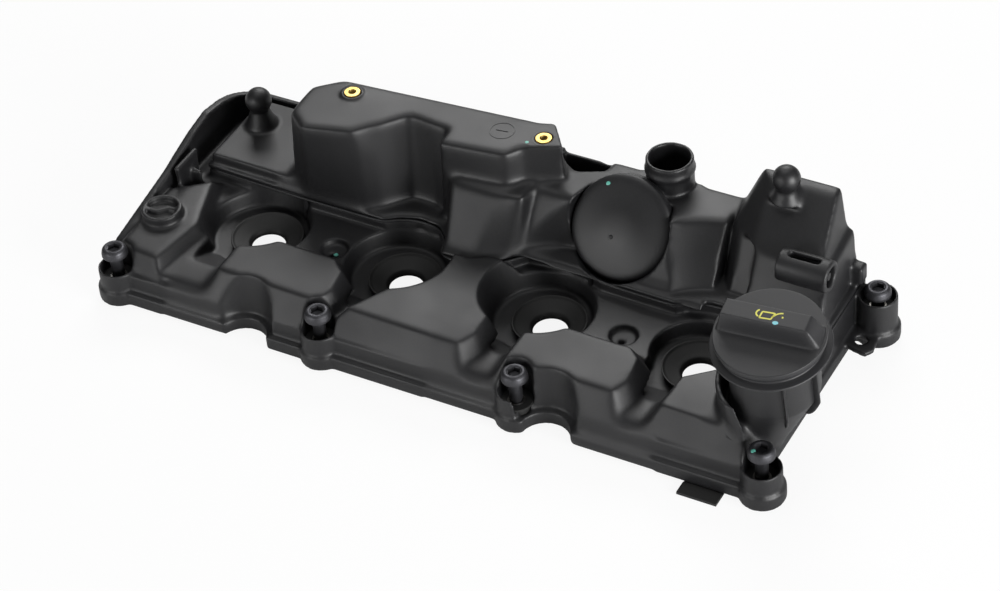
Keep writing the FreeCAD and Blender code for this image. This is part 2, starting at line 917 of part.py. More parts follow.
# Upper moulding: the oil separator's shell, welded on along the seam
seam_plate = prism("seam_plate", SEAM, "seam_height", "seam_height + seam_flange")
left_block = prism(
    "left_block",
    [
        ("left_edge + 20", "28"),
        (well(0) + " + 8", "27"),
        (well(0) + " + 8", "shell_rear - 4"),
        ("left_edge + 20", "shell_rear - 4"),
    ],
    "seam_height",
    "left_block_height",
    "5",
)
tall_chamber = loft(
    "tall_chamber",
    [
        (well(0) + " + 1", "29"),
        (well(0) + " + 14", "25"),
        (well(1) + " - 40", "25.5"),
        (well(1) + " - 30", "32"),
        (well(1) + " - 19", "45"),
        (well(1) + " - 3", "45"),
        (well(1) + " + 5", "36"),
        (well(1) + " + 44", "36"),
        (well(1) + " + 54", "44"),
        (well(1) + " + 72", "57"),
        (well(1) + " + 58", "shell_rear"),
        (well(0) + " + 10", "shell_rear"),
        (well(0) + " + 1", "shell_rear - 12"),
    ],
    "seam_height",
    [
        (well(0) + " + 3.4", "32.5"),
        (well(0) + " + 16.6", "21.5"),
        (well(1) + " - 43.3", "29"),
        (well(1) + " - 34.4", "38.7"),
        (well(1) + " - 21.6", "54.5"),
        (well(1) + " - 4.2", "52.4"),
        (well(1) + " + 4.6", "39.2"),
        (well(1) + " + 42.6", "44"),
        (well(1) + " + 48", "53"),
        (well(1) + " + 68", "62"),
        (well(1) + " + 55.5", "78"),
        (well(0) + " + 17", "68.5"),
        (well(0) + " + 3", "56"),
    ],
    "chamber_height",
)
facet = loft(
    "facet",
    [
        (well(1) + " + 17", "12"),
        (well(1) + " + 34", "12"),
        (well(1) + " + 56", "25"),
        (well(1) + " + 58", "54"),
        (well(1) + " + 6", "54"),
    ],
    "seam_height",
    [
        (well(1) + " + 12.7", "34.6"),
        (well(1) + " + 40", "34.5"),
        (well(1) + " + 56", "36"),
        (well(1) + " + 58", "56"),
        (well(1) + " + 6", "56"),
    ],
    "facet_height",
)
mid_chamber = side_prism(
    "mid_chamber",
    [
        ("26", "seam_height"),
        ("33", "seam_height + 8"),
        ("47.5", "roof_height - 2"),
        ("50", "roof_height"),
        ("shell_rear", "roof_height"),
        ("shell_rear", "seam_height"),
    ],
    well(1) + " + 50",
    well(3) + " - 12",
)
right_block_low = loft(
    "right_block_low",
    [
        (well(3) + " - 16", "shell_rear"),
        (well(3) + " - 16", "60"),
        (well(3) + " + 4", "30"),
        ("right_edge - 3.5", "30"),
        ("right_edge - 6.6", "shell_rear"),
    ],
    "seam_height",
    [
        (well(3) + " - 13", "shell_rear"),
        (well(3) + " - 9.5", "65"),
        (well(3) + " + 8.5", "48"),
        ("right_edge - 4.5", "40"),
        ("right_edge - 8", "shell_rear"),
    ],
    "right_block_split",
)
right_block_high = loft(
    "right_block_high",
    [
        (well(3) + " - 13", "shell_rear"),
        (well(3) + " - 9.5", "65"),
        (well(3) + " + 8.5", "48"),
        ("right_edge - 8.5", "40.5"),
        ("right_edge - 12", "shell_rear"),
    ],
    "right_block_split",
    [
        (well(3) + " - 1", "shell_rear"),
        (well(3) + " - 0.5", "83"),
        (well(3) + " + 5", "78"),
        ("right_edge - 14.5", "78"),
        ("right_edge - 15.4", "shell_rear"),
    ],
    "right_block_height",
)


def scallop(name, index, growth, left, right, top="chamber_height + 3"):
    """The space over an injector well that the shell's front wall leaves free."""
    return common(
        name,
        [
            cone(name + "_cone", "scallop_radius", "scallop_radius + %s" % growth, "seam_height + seam_flange",
                 "chamber_height + 2", well(index), "0"),
            box(name + "_side", "%s - %s" % (well(index), left), "%s + (%s)" % (well(index), right),
                "-60", "80", "seam_height", top),
        ],
    )


scallops = [
    scallop("scallop_two", 1, 10, 70, 4),
    scallop("scallop_three", 2, 10, 60, 60),
    scallop("scallop_four", 3, 38, 50, -11.5),
    scallop("scallop_side", 3, 30, 12, 9, "roof_height - 1"),
]
rear_pocket = prism(
    "rear_pocket",
    [
        (well(1) + " + 56.5", "shell_rear - 2.4"),
        (well(1) + " + 57", "79"),
        (well(1) + " + 62.7", "74.5"),
        (well(1) + " + 69.4", "71"),
        (well(1) + " + 77.6", "72.5"),
        (well(1) + " + 84.2", "76.5"),
        (well(1) + " + 85.4", "shell_rear - 2.4"),
    ],
    "roof_height - pocket_share * (roof_height - seam_height)",
    "roof_height + 1",
)
pocket_lip = box(
    "pocket_lip", well(1) + " + 56.5", well(1) + " + 85.4", "shell_rear - 3", "shell_rear + 1", "roof_height - 3", "roof_height + 1"
)
lid_clearance = leaning_cylinder(
    "lid_clearance", "valve", "valve_radius + 0.5", "-valve_cap_height - 1", "45",
)
shell_forms = cut(
    "shell_forms",
    fuse("shell_blocks", [seam_plate, tall_chamber, facet, mid_chamber, right_block_low, right_block_high]),
    scallops + [rear_pocket, pocket_lip, lid_clearance],
)

# Ball studs, the breather stub, the clip tube and the seat of the pressure valve
def ball(name, x, y, z):
    """A ball at a place."""
    solid = doc.addObject("Part::Sphere", name)
    tie(solid, Radius="ball_radius")
    return place(solid, x, y, z)


studs = []
for side, foot in (("left", "left_block_height - 2"), ("right", "right_block_height - 6")):
    stud_x, stud_y, stud_z = ("ball_%s_%s" % (side, axis) for axis in "xyz")
    studs.append(
        cone("stud_%s" % side, "ball_radius + 2.5", "ball_neck", foot, stud_z + " - 5", stud_x, stud_y),
    )
    studs.append(ball("ball_%s" % side, stud_x, stud_y, stud_z))
stub_tube = cylinder("stub_tube", "stub_radius", "seam_height + 8", "stub_top", "stub_x", "stub_y")
stub_bead_low = cone(
    "stub_bead_low", "stub_radius", "bead_radius", "bead_height - 2.5", "bead_height", "stub_x", "stub_y",
)
stub_bead_high = cone(
    "stub_bead_high", "bead_radius", "stub_radius", "bead_height", "bead_height + 2.5", "stub_x", "stub_y",
)


def level_cylinder(name, radius, left, right, y, z):
    """A cylinder along X between two places."""
    solid = doc.addObject("Part::Cylinder", name)
    tie(solid, Radius=radius, Height="(%s) - (%s)" % (right, left))
    solid.Placement = Placement(Vector(), Rotation(Vector(0, 1, 0), 90))
    return place(solid, left, y, z)


clip_height = "right_block_split + 4.2"
clip_tube = level_cylinder(
    "clip_tube", "clip_radius", "right_edge - 30", "right_edge - 1.5", "clip_y", clip_height,
)
clip_bore = level_cylinder(
    "clip_bore", "clip_bore_radius", "right_edge - 27", "right_edge", "clip_y", clip_height,
)
clip_opening = box(
    "clip_opening", "right_edge - 25", "right_edge - 8", "clip_y - clip_slot / 2", "clip_y + clip_slot / 2",
    clip_height, "right_block_height",
)
valve_boss = leaning_cylinder(
    "valve_boss", "valve", "valve_radius - valve_cap_wall - 0.1", "-valve_depth - 7",
    "-valve_cap_wall - membrane_thickness",
)
insert_bosses = [
    cylinder(
        "insert_boss_" + side, "insert_boss_radius", "chamber_height - 3", "chamber_height + " + proud,
        "insert_%s_x" % side, "insert_%s_y" % side,
    )
    for side, proud in (("left", "1.4"), ("right", "0.3"))
]
side_step = box(
    "side_step", "right_edge - 10", "right_edge + 0.5", "74", "82", "seam_height + 4", "seam_height + 15",
)

# Hollows of the shell
chamber_space = loft(
    "chamber_space",
    [
        (well(0) + " + 8", "50"),
        (well(1) + " + 66", "56"),
        (well(1) + " + 66", "shell_rear - shell_wall"),
        (well(0) + " + 8", "shell_rear - shell_wall"),
    ],
    "seam_height",
    [
        (well(0) + " + 12", "59"),
        (well(1) + " + 48", "60"),
        (well(1) + " + 48", "70"),
        (well(0) + " + 12", "64"),
    ],
    "chamber_height - hollow_below_top",
)
mid_space = box(
    "mid_space", well(1) + " + 60", well(3) + " - 30", "64", "shell_rear - shell_wall",
    "seam_height", "roof_height - pocket_share * (roof_height - seam_height) - shell_wall",
)
stub_bore = cylinder(
    "stub_bore_cut", "stub_bore", "roof_height - shell_wall - 1", "stub_top + 1", "stub_x", "stub_y",
)
valve_space = leaning_cylinder(
    "valve_space", "valve", "valve_bore", "-valve_cap_wall - membrane_thickness - valve_depth", "0",
)
valve_port = leaning_cylinder("valve_port", "valve", "seat_radius - 2", "-32", "0")
valve_seat = leaning_cylinder(
    "valve_seat", "valve", "seat_radius",
    "-valve_cap_wall - membrane_thickness - valve_depth - 1",
    "-valve_cap_wall - membrane_thickness - plate_thickness - valve_travel - 0.3",
)
insert_holes = [
    cylinder("insert_hole_%s" % side, "insert_radius + 0.02", "chamber_height - insert_length", "chamber_height + 5",
             "insert_%s_x" % side, "insert_%s_y" % side)
    for side in ("left", "right")
]
shell_solid = cut(
    "shell_solid",
    fuse(
        "shell_union",
        [left_block, shell_forms, stub_tube, stub_bead_low, stub_bead_high, clip_tube, valve_boss,
         side_step] + studs + insert_bosses,
    ),
    [chamber_space, mid_space, stub_bore, valve_space, clip_bore, clip_opening] + insert_holes,
)
separator_shell = cut("separator_shell", fuse("shell_with_seat", [shell_solid, valve_seat]), [valve_port])

# Inside the separator
baffle_plate = cut(
    "baffle_plate",
    box(
        "baffle_sheet", well(0) + " + 10", well(1) + " + 60", "58", "shell_rear - shell_wall - 1", "seam_height",
        "seam_height + 1.6",
    ),
    [
        box(
            "baffle_slot_%d" % index,
            "%s + 20 + %d * baffle_pitch" % (well(0), index),
            "%s + 20 + %d * baffle_pitch + baffle_slot" % (well(0), index),
            "62", "78", "seam_height - 1", "seam_height + 3",
        )
        for index in range(8)
    ]
    + [
        cylinder(
            "drain_clearance", "4.4", "seam_height - 1", "seam_height + 3", "-0.2 * well_pitch", "drain_y",
        ),
    ],
)
impactor_rise = "impactor_share * (chamber_height - hollow_below_top - seam_height)"
impactor_plate = cut(
    "impactor_plate",
    box(
        "impactor_sheet", well(1) + " + 8", well(1) + " + 10", "60.5", "72.5", "seam_height + 1.6",
        "seam_height + " + impactor_rise,
    ),
    [
        box(
            "impactor_slot_%d" % index, well(1) + " + 7", well(1) + " + 11", "62 + %d" % (4 * index),
            "64 + %d" % (4 * index), "seam_height + 8", "seam_height + %s - 4" % impactor_rise,
        )
        for index in range(3)
    ],
)
drain_valve = place(
    turned_body(
        "drain_valve",
        [("0", "-wall - 1.2"), ("7", "-wall - 1.6"), ("7", "-wall - 0.8"), ("2.4", "-wall - 0.05"), ("2.4", "-0.6"),
         ("2.4", "0.1"), ("3.2", "0.1"), ("2", "2.2"), ("0", "2.2")],
    ),
    "-0.2 * well_pitch", "drain_y", "seam_height",
)

# Pressure valve
valve_cap = on_axis(
    turned_body(
        "pcv_cap",
        [
            ("0", "3.4 - valve_cap_wall"),
            ("14", "2 - valve_cap_wall"),
            ("valve_bore - 1", "-valve_cap_wall"),
            ("valve_radius - valve_cap_wall", "-valve_cap_wall"),
            ("valve_radius - valve_cap_wall", "-valve_cap_height"),
            ("valve_radius", "-valve_cap_height"),
            ("valve_radius", "-2"),
            ("valve_radius - 2.4", "-0.2"),
            ("14", "2.2"),
            ("0", "3.4"),
        ],
    ),
    "valve",
    "0",
)
pcv_diaphragm = on_axis(
    turned_body(
        "pcv_diaphragm",
        [
            ("0", "-valve_cap_wall - membrane_thickness"),
            ("plate_radius + 1", "-valve_cap_wall - membrane_thickness"),
            ("plate_radius + 3", "-valve_cap_wall - membrane_thickness - 1.6"),
            ("valve_bore - 3", "-valve_cap_wall - membrane_thickness - 1.6"),
            ("valve_bore - 1", "-valve_cap_wall - membrane_thickness"),
            ("valve_radius - valve_cap_wall - 0.4", "-valve_cap_wall - membrane_thickness"),
            ("valve_radius - valve_cap_wall - 0.4", "-valve_cap_wall - 0.02"),
            ("valve_bore - 1.6", "-valve_cap_wall - 0.02"),
            ("valve_bore - 3.6", "-valve_cap_wall - 1.62"),
            ("plate_radius + 3.6", "-valve_cap_wall - 1.62"),
            ("plate_radius + 1.6", "-valve_cap_wall - 0.02"),
            ("0", "-valve_cap_wall - 0.02"),
        ],
    ),
    "valve",
    "0",
)
pcv_plate = on_axis(
    turned_body(
        "pcv_plate",
        [
            ("0", "-plate_thickness"),
            ("plate_radius", "-plate_thickness"),
            ("plate_radius", "-0.05"),
            ("0", "-0.05"),
        ],
    ),
    "valve",
    "-valve_cap_wall - membrane_thickness",
)


def helix_spring(name, axis, radius, wire, foot, height, turns, steps):
    """A wire spring round a leaning axis, lofted through sections along its helix."""
    base_x, base_y, base_z, angle = AXES[axis]
    stand = Placement(
        Vector(value(base_x), value(base_y), value(base_z)), Rotation(Vector(1, 0, 0), value(angle))
    )
    spring = doc.addObject("Part::Loft", name)
    sections = []
    for step in range(steps + 1):
        part_way = step / steps
        section = doc.addObject("Part::RegularPolygon", "%s_section_%d" % (name, step))
        section.Polygon = 8
        tie(section, Circumradius=wire)
        turned = Rotation(Vector(0, 0, 1), 360 * value(turns) * part_way)
        centre = turned.multVec(Vector(value(radius), 0, 0)) + Vector(
            0, 0, value(foot) + value(height) * part_way,
        )
        upright = turned.multiply(Rotation(Vector(1, 0, 0), 90))
        section.Placement = stand.multiply(Placement(centre, upright))
        sections.append(section)
    spring.Sections = sections
    spring.Solid = True
    spring.Ruled = True
    return spring


pcv_spring = helix_spring(
    "pcv_spring",
    "valve",
    "seat_radius + 1.6",
    "spring_wire",
    "-valve_cap_wall - membrane_thickness - valve_depth + spring_wire + 0.1",
    "valve_depth - plate_thickness - 2 * spring_wire - 0.4",
    "spring_turns",
    63,
)

# Oil filler cap with its bayonet plug
cap_top = "neck_length + cap_seat_gap + cap_disc_thickness"
cap_shape = on_axis(
    turned_body(
        "cap_turning",
        [
            ("0", "cap_seat_gap"),
            ("0", "cap_seat_gap + cap_disc_thickness"),
            ("cap_radius - 2", "cap_seat_gap + cap_disc_thickness"),
            ("cap_radius - 0.6", "cap_seat_gap + cap_disc_thickness - 0.7"),
            ("cap_radius", "cap_seat_gap + cap_disc_thickness - 2"),
            ("cap_radius", "cap_seat_gap + cap_disc_thickness - cap_skirt_height + 2"),
            ("cap_radius + 1.6", "cap_seat_gap + cap_disc_thickness - cap_skirt_height"),
            ("cap_radius - 1", "cap_seat_gap + cap_disc_thickness - cap_skirt_height"),
            ("cap_radius - 2.2", "cap_seat_gap"),
        ],
    ),
    "neck",
    "neck_length",
)
plug_low = "neck_length - ledge_depth - ledge_thickness - 0.3 - lug_thickness - 0.6"
cap_plug = neck_cylinder("cap_plug", "plug_radius", plug_low, "neck_length + cap_seat_gap + 0.5")
lug_disc = neck_cylinder(
    "lug_disc", "lug_radius",
    "neck_length - ledge_depth - ledge_thickness - 0.3 - lug_thickness",
    "neck_length - ledge_depth - ledge_thickness - 0.3",
)


lug_bar = neck_bar(
    "lug_bar",
    "lug_radius + 1",
    "5",
    plug_low,
    "neck_length - ledge_depth - ledge_thickness - 0.3",
    "cap_turn + 90",
)
cap_lugs = common("cap_lugs", [lug_disc, lug_bar])
grip = common(
    "grip",
    [
        neck_bar(
            "grip_bar", "cap_radius", "grip_width / 2", cap_top + " - 1", cap_top + " + grip_height + 1", "cap_turn"
        ),
        on_axis(
            turned_body(
                "grip_ends",
                [
                    ("0", "cap_disc_thickness - 0.8"),
                    ("grip_reach", "cap_disc_thickness - 0.8"),
                    ("grip_reach", "cap_disc_thickness + cap_seat_gap"),
                    ("grip_crest_reach", "cap_disc_thickness + cap_seat_gap + grip_height"),
                    ("0", "cap_disc_thickness + cap_seat_gap + grip_height"),
                ],
            ),
            "neck",
            "neck_length",
        ),
    ],
)
filler_cap = fuse("filler_cap", [cap_shape, cap_plug, cap_lugs, grip])
filler_cap_seal = on_axis(
    turned_body(
        "filler_cap_seal",
        [
            ("plug_radius + 0.05", "0.8"),
            ("plug_radius + 1", "0.05"),
            ("neck_bore - 1", "0.05"),
            ("neck_bore - 0.05", "0.8"),
            ("neck_bore - 0.05", "2.6"),
            ("neck_bore - 1", "3.4"),
            ("plug_radius + 1", "3.4"),
            ("plug_radius + 0.05", "2.6"),
        ],
    ),
    "neck",
    "neck_length - ledge_depth",
)

# Injector seals
seal_profile = [
    ("seal_lip_radius", "-seal_spigot_drop - 1.6"),
    ("well_hole_radius - seal_clearance", "-seal_spigot_drop - 1.6"),
    ("well_hole_radius - seal_clearance", "0"),
    ("seal_rim_radius - 3.4", "0"),
    ("seal_rim_radius", "seal_rim_height"),
    ("seal_rim_radius - 1.6", "seal_rim_height"),
    ("seal_lip_radius", "-seal_spigot_drop"),
]
injector_seals = [
    place(turned_body("injector_seal_%d" % (index + 1), seal_profile), well(index), "0", "well_floor") for index in WELLS
]

# Bolts, each with its sleeve and grommet
bolt_profile = [
    ("0", "0"),
    ("shank_radius", "0"),
    ("shank_radius", "bolt_length - 14"),
    ("collar_radius", "bolt_length - 14"),
    ("collar_radius", "bolt_length"),
    ("head_radius", "bolt_length"),
    ("head_radius", "bolt_length + 2"),
    ("head_radius - 2.4", "bolt_length + head_height"),
    ("socket_radius", "bolt_length + head_height"),
    ("socket_radius", "bolt_length + head_height - socket_depth"),
    ("0", "bolt_length + head_height - socket_depth"),
]
bolt = turned_body("bolt", bolt_profile)
bolts, sleeves, grommets = [], [], []
for index, (x, y, top) in enumerate(BOLTS):
    cup_floor = "%s - cup_depth" % top
    bolts.append(copy_at("bolt_%d" % index, bolt, x, y, "0.3"))
    sleeves.append(
        cut(
            "sleeve_%d" % index,
            cylinder(
                "sleeve_tube_%d" % index,
                "sleeve_radius",
                "gasket_proud",
                cup_floor + " + grommet_lip",
                x,
                y,
            ),
            [cylinder("sleeve_hole_%d" % index, "sleeve_bore", "0", cup_floor + " + 5", x, y)],
        )
    )
    grommets.append(
        cut(
            "grommet_%d" % index,
            fuse(
                "grommet_solid_%d" % index,
                [
                    cylinder("grommet_tube_%d" % index, "grommet_radius - grommet_clearance",
                             cup_floor + " - grommet_height", cup_floor + " + grommet_lip", x, y),
                    cylinder(
                        "grommet_rim_%d" % index,
                        "cup_radius - 0.5",
                        cup_floor,
                        cup_floor + " + grommet_lip",
                        x,
                        y,
                    ),
                ],
            ),
            [cylinder("grommet_hole_%d" % index, "sleeve_radius + 0.05", "0", cup_floor + " + 5", x, y)],
        )
    )
cover_bolts = group("cover_bolts", bolts)
bolt_sleeves = group("bolt_sleeves", sleeves)
bolt_grommets = group("bolt_grommets", grommets)

# Gasket with its tongue, and the brass inserts
gasket_tab = fuse(
    "gasket_tab",
    [
        box(
            "tab_root",
            "tab_left_x",
            "tab_left_x + tab_width",
            "front_edge - tab_reach",
            "front_edge + gasket_inset + 2",
            "0",
            "gasket_proud - 0.05",
        ),
        box(
            "tab_tongue",
            "tab_left_x",
            "tab_left_x + tab_width",
            "front_edge - tab_reach",
            "front_edge - 0.4",
            "0",
            "tab_thickness",
        ),
    ],
)
perimeter_gasket = fuse(
    "perimeter_gasket",
    [gasket_ring("gasket_bead", "0", "0", "gasket_proud + groove_depth - 0.2"), gasket_tab],
)
inserts = []
for side, rise in (("left", "1.5"), ("right", "0.4")):
    insert = turned_body(
        "insert_" + side,
        [
            ("insert_bore", "-insert_length + 0.3"),
            ("insert_radius", "-insert_length + 0.3"),
            ("insert_radius", rise),
            ("insert_bore + 0.4", rise),
            ("insert_bore", "%s - 0.4" % rise),
        ],
    )
    inserts.append(place(insert, "insert_%s_x" % side, "insert_%s_y" % side, "chamber_height"))

NODES = {
    "cover_housing": cover_housing,
    "separator_shell": separator_shell,
    "baffle_plate": baffle_plate,
    "impactor_plate": impactor_plate,
    "drain_valve": drain_valve,
    "pcv_cap": valve_cap,
    "pcv_diaphragm": pcv_diaphragm,
    "pcv_plate": pcv_plate,
    "pcv_spring": pcv_spring,
    "filler_cap": filler_cap,
    "filler_cap_seal": filler_cap_seal,
    "perimeter_gasket": perimeter_gasket,
    "cover_bolts": cover_bolts,
    "bolt_sleeves": bolt_sleeves,
    "bolt_grommets": bolt_grommets,
    "insert_left": inserts[0],
    "insert_right": inserts[1],
}
for number, seal in enumerate(injector_seals, start=1):
    NODES["injector_seal_%d" % number] = seal

doc.recompute()

for item in doc.Objects:
    if "Invalid" in item.State or "Error" in item.State:
        raise RuntimeError("%s did not build: %s" % (item.Name, item.State))
for label, item in NODES.items():
    item.Label = label
    if item.Shape.isNull() or not item.Shape.isValid() or not item.Shape.Solids:
        raise RuntimeError("%s has no valid solid" % label)

os.makedirs("parts", exist_ok=True)
for label, item in NODES.items():
    shape = item.Shape
    shape.exportStep("parts/%s.step" % label)
    limits = shape.BoundBox
    print("%-18s %2d solids %9.1f mm3  x %.1f..%.1f y %.1f..%.1f z %.1f..%.1f" % (
        label, len(shape.Solids), shape.Volume,
        limits.XMin, limits.XMax, limits.YMin, limits.YMax, limits.ZMin, limits.ZMax))
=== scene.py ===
"""Engine valve cover in black moulded nylon, dressed over its CAD frame for a studio picture."""

from __future__ import annotations

import json
import logging
import math
from dataclasses import dataclass
from enum import Enum

import bmesh
import bpy
import numpy as np
from mathutils import Matrix, Vector

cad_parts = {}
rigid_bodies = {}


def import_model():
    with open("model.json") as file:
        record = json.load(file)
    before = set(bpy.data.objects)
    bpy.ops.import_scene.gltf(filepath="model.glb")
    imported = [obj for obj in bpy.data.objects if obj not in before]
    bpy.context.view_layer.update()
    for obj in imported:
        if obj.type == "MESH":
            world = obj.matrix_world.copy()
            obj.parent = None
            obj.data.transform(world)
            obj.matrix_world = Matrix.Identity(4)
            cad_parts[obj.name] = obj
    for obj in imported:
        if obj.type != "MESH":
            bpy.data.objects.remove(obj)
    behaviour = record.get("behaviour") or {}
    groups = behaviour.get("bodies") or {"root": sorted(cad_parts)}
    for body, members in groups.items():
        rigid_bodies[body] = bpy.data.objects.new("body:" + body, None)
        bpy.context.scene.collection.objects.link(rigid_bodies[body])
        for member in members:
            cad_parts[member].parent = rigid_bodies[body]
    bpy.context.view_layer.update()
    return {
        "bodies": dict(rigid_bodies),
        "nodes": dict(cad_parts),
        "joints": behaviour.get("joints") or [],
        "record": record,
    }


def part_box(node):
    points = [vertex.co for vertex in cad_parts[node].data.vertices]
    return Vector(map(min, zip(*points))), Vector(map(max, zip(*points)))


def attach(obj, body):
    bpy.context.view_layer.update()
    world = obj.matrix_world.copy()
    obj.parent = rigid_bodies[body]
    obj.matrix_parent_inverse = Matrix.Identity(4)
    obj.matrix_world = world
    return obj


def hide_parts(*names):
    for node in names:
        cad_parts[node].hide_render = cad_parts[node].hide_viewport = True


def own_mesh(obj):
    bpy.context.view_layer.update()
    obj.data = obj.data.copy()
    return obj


LOG = logging.getLogger("valve_cover")
MM = 0.001
MERGE = 2e-6
CREASE_DEGREES = 38.0


# Colours and shader nodes


def linear(code: str) -> tuple[float, float, float, float]:
    """Turns an sRGB hex colour into linear light.

    Args:
        code: six hex digits after a hash sign.

    Returns:
        Linear red, green and blue, and an alpha of 1.
    """
    channels = np.array([int(code[i : i + 2], 16) for i in (1, 3, 5)]) / 255
    low = channels / 12.92
    high = ((channels + 0.055) / 1.055) ** 2.4
    red, green, blue = np.where(channels <= 0.04045, low, high)
    return float(red), float(green), float(blue), 1.0


def per_metre(millimetres: float) -> float:
    """The scale that gives a pattern cells of a real size in millimetres."""
    return 1000.0 / millimetres


def add_node(tree: bpy.types.NodeTree, kind: str, values: dict | None = None, **settings) -> bpy.types.Node:
    """Adds one shader node with its settings, input values and links.

    Args:
        tree: the material's or world's node tree.
        kind: the node's type name.
        values: input name or number to a value, or to an output socket to link.
        settings: the node's own properties.

    Returns:
        The new node.
    """
    node = tree.nodes.new(kind)
    for key, value in settings.items():
        setattr(node, key, value)
    for key, value in (values or {}).items():
        if isinstance(value, bpy.types.NodeSocket):
            tree.links.new(value, node.inputs[key])
        else:
            node.inputs[key].default_value = value
    return node


def noise(
    tree: bpy.types.NodeTree,
    place: bpy.types.NodeSocket,
    size: float,
    detail: float,
    roughness: float = 0.5,
) -> bpy.types.NodeSocket:
    """Adds a noise pattern with cells of a real size.

    Args:
        tree: the material's node tree.
        place: the coordinates that it reads.
        size: the cells' size in millimetres.
        detail: how many finer layers lie over the first.
        roughness: how strong the finer layers are.

    Returns:
        The noise's grey value.
    """
    values = {"Vector": place, "Scale": per_metre(size), "Detail": detail, "Roughness": roughness}
    return add_node(tree, "ShaderNodeTexNoise", values).outputs["Fac"]


def blend(
    tree: bpy.types.NodeTree,
    share: bpy.types.NodeSocket,
    first: str,
    second: str,
    **settings,
) -> bpy.types.NodeSocket:
    """Mixes two sRGB hex colours by a grey value.

    Args:
        tree: the material's node tree.
        share: how much of the second colour shows.
        first: the colour at 0.
        second: the colour at 1.
        settings: the mix node's own properties.

    Returns:
        The mixed colour.
    """
    values = {0: share, 6: linear(first), 7: linear(second)}
    return add_node(tree, "ShaderNodeMix", values, data_type="RGBA", **settings).outputs[2]


def relief(
    tree: bpy.types.NodeTree,
    height: bpy.types.NodeSocket,
    strength: float,
    depth: float,
) -> bpy.types.NodeSocket:
    """Turns a grey value into a bump of a real depth.

    Args:
        tree: the material's node tree.
        height: the grey value.
        strength: the share of the bump that shows.
        depth: the bump's depth in millimetres.

    Returns:
        The bumped normal.
    """
    values = {"Height": height, "Strength": strength, "Distance": depth * MM}
    return add_node(tree, "ShaderNodeBump", values).outputs["Normal"]


def finish_off(tree: bpy.types.NodeTree, output: bpy.types.Node, values: dict) -> None:
    """Adds the surface's principled shader and joins it to the material's output."""
    shader = add_node(tree, "ShaderNodeBsdfPrincipled", values)
    tree.links.new(shader.outputs[0], output.inputs[0])


def new_material(name: str) -> tuple[bpy.types.Material, bpy.types.NodeTree, bpy.types.Node]:
    """An empty node material.

    Args:
        name: the material's name.

    Returns:
        The material, its tree and its output node.
    """
    material = bpy.data.materials.new(name)
    material.use_nodes = True
    tree = material.node_tree
    tree.nodes.clear()
    return material, tree, tree.nodes.new("ShaderNodeOutputMaterial")


class Finish:
    """A finish that makes its material once and hands it out after that."""

    name: str

    def material(self) -> bpy.types.Material:
        """The finish's material, made at its first use."""
        made = bpy.data.materials.get(self.name)
        return made if made else self.build()

    def build(self) -> bpy.types.Material:
        """Makes the material."""
        raise NotImplementedError


@dataclass(frozen=True)
class MouldedNylon(Finish):
    """Glass-filled black nylon from a spark-eroded mould: a fine matt grain with a grey sheen.

    The grain scatters the highlight, and slow changes of gloss show where the melt flowed.
    """

    name: str = "nylon_glass_filled_moulded"
    colour: str = "#0a0a0b"
    bloom: str = "#131315"
    roughness: float = 0.5
    gloss_change: float = 0.05
    speckle: float = 0.8
    grain_mm: float = 0.9
    grain_depth_mm: float = 0.045
    flow_mm: float = 38.0

    def build(self) -> bpy.types.Material:
        """Principled plastic with a mottled base, changing gloss and a fine grain in the bump."""
        material, tree, output = new_material(self.name)
        place = add_node(tree, "ShaderNodeTexCoord").outputs["Object"]
        flow = noise(tree, place, self.flow_mm, 3.0)
        # The glass fibres are 0.01 mm wide, too fine to show, so their speckle is drawn at the grain's size.
        grain = noise(tree, place, self.grain_mm, 2.0, 0.6)
        speckle = add_node(tree, "ShaderNodeMapRange", {0: grain, 1: 0.38, 2: 0.66, 3: 0.0, 4: self.speckle})
        share = add_node(tree, "ShaderNodeMath", {0: speckle.outputs[0], 1: flow}, operation="ADD")
        low, high = self.roughness - self.gloss_change, self.roughness + self.gloss_change
        gloss = add_node(tree, "ShaderNodeMapRange", {0: flow, 1: 0.3, 2: 0.7, 3: low, 4: high})
        values = {
            "Base Color": blend(tree, share.outputs[0], self.colour, self.bloom, clamp_factor=False),
            "Roughness": gloss.outputs[0],
            "Normal": relief(tree, grain, 0.5, self.grain_depth_mm),
            "IOR": 1.53,
        }
        finish_off(tree, output, values)
        return material


@dataclass(frozen=True)
class MouldedRubber(Finish):
    """Black oil-resistant rubber, pressed in a mould: duller than the nylon, with a faint dusty bloom."""

    name: str = "acrylate_rubber_moulded"
    colour: str = "#0c0c0c"
    bloom: str = "#151514"
    roughness: float = 0.62
    bloom_mm: float = 9.0
    grain_mm: float = 0.8
    grain_depth_mm: float = 0.02

    def build(self) -> bpy.types.Material:
        """Principled rubber with a blotchy bloom and a soft grain."""
        material, tree, output = new_material(self.name)
        place = add_node(tree, "ShaderNodeTexCoord").outputs["Object"]
        blotch = noise(tree, place, self.bloom_mm, 4.0)
        grain = noise(tree, place, self.grain_mm, 1.0)
        values = {
            "Base Color": blend(tree, blotch, self.colour, self.bloom),
            "Roughness": self.roughness,
            "Normal": relief(tree, grain, 0.4, self.grain_depth_mm),
            "IOR": 1.52,
        }
        finish_off(tree, output, values)
        return material


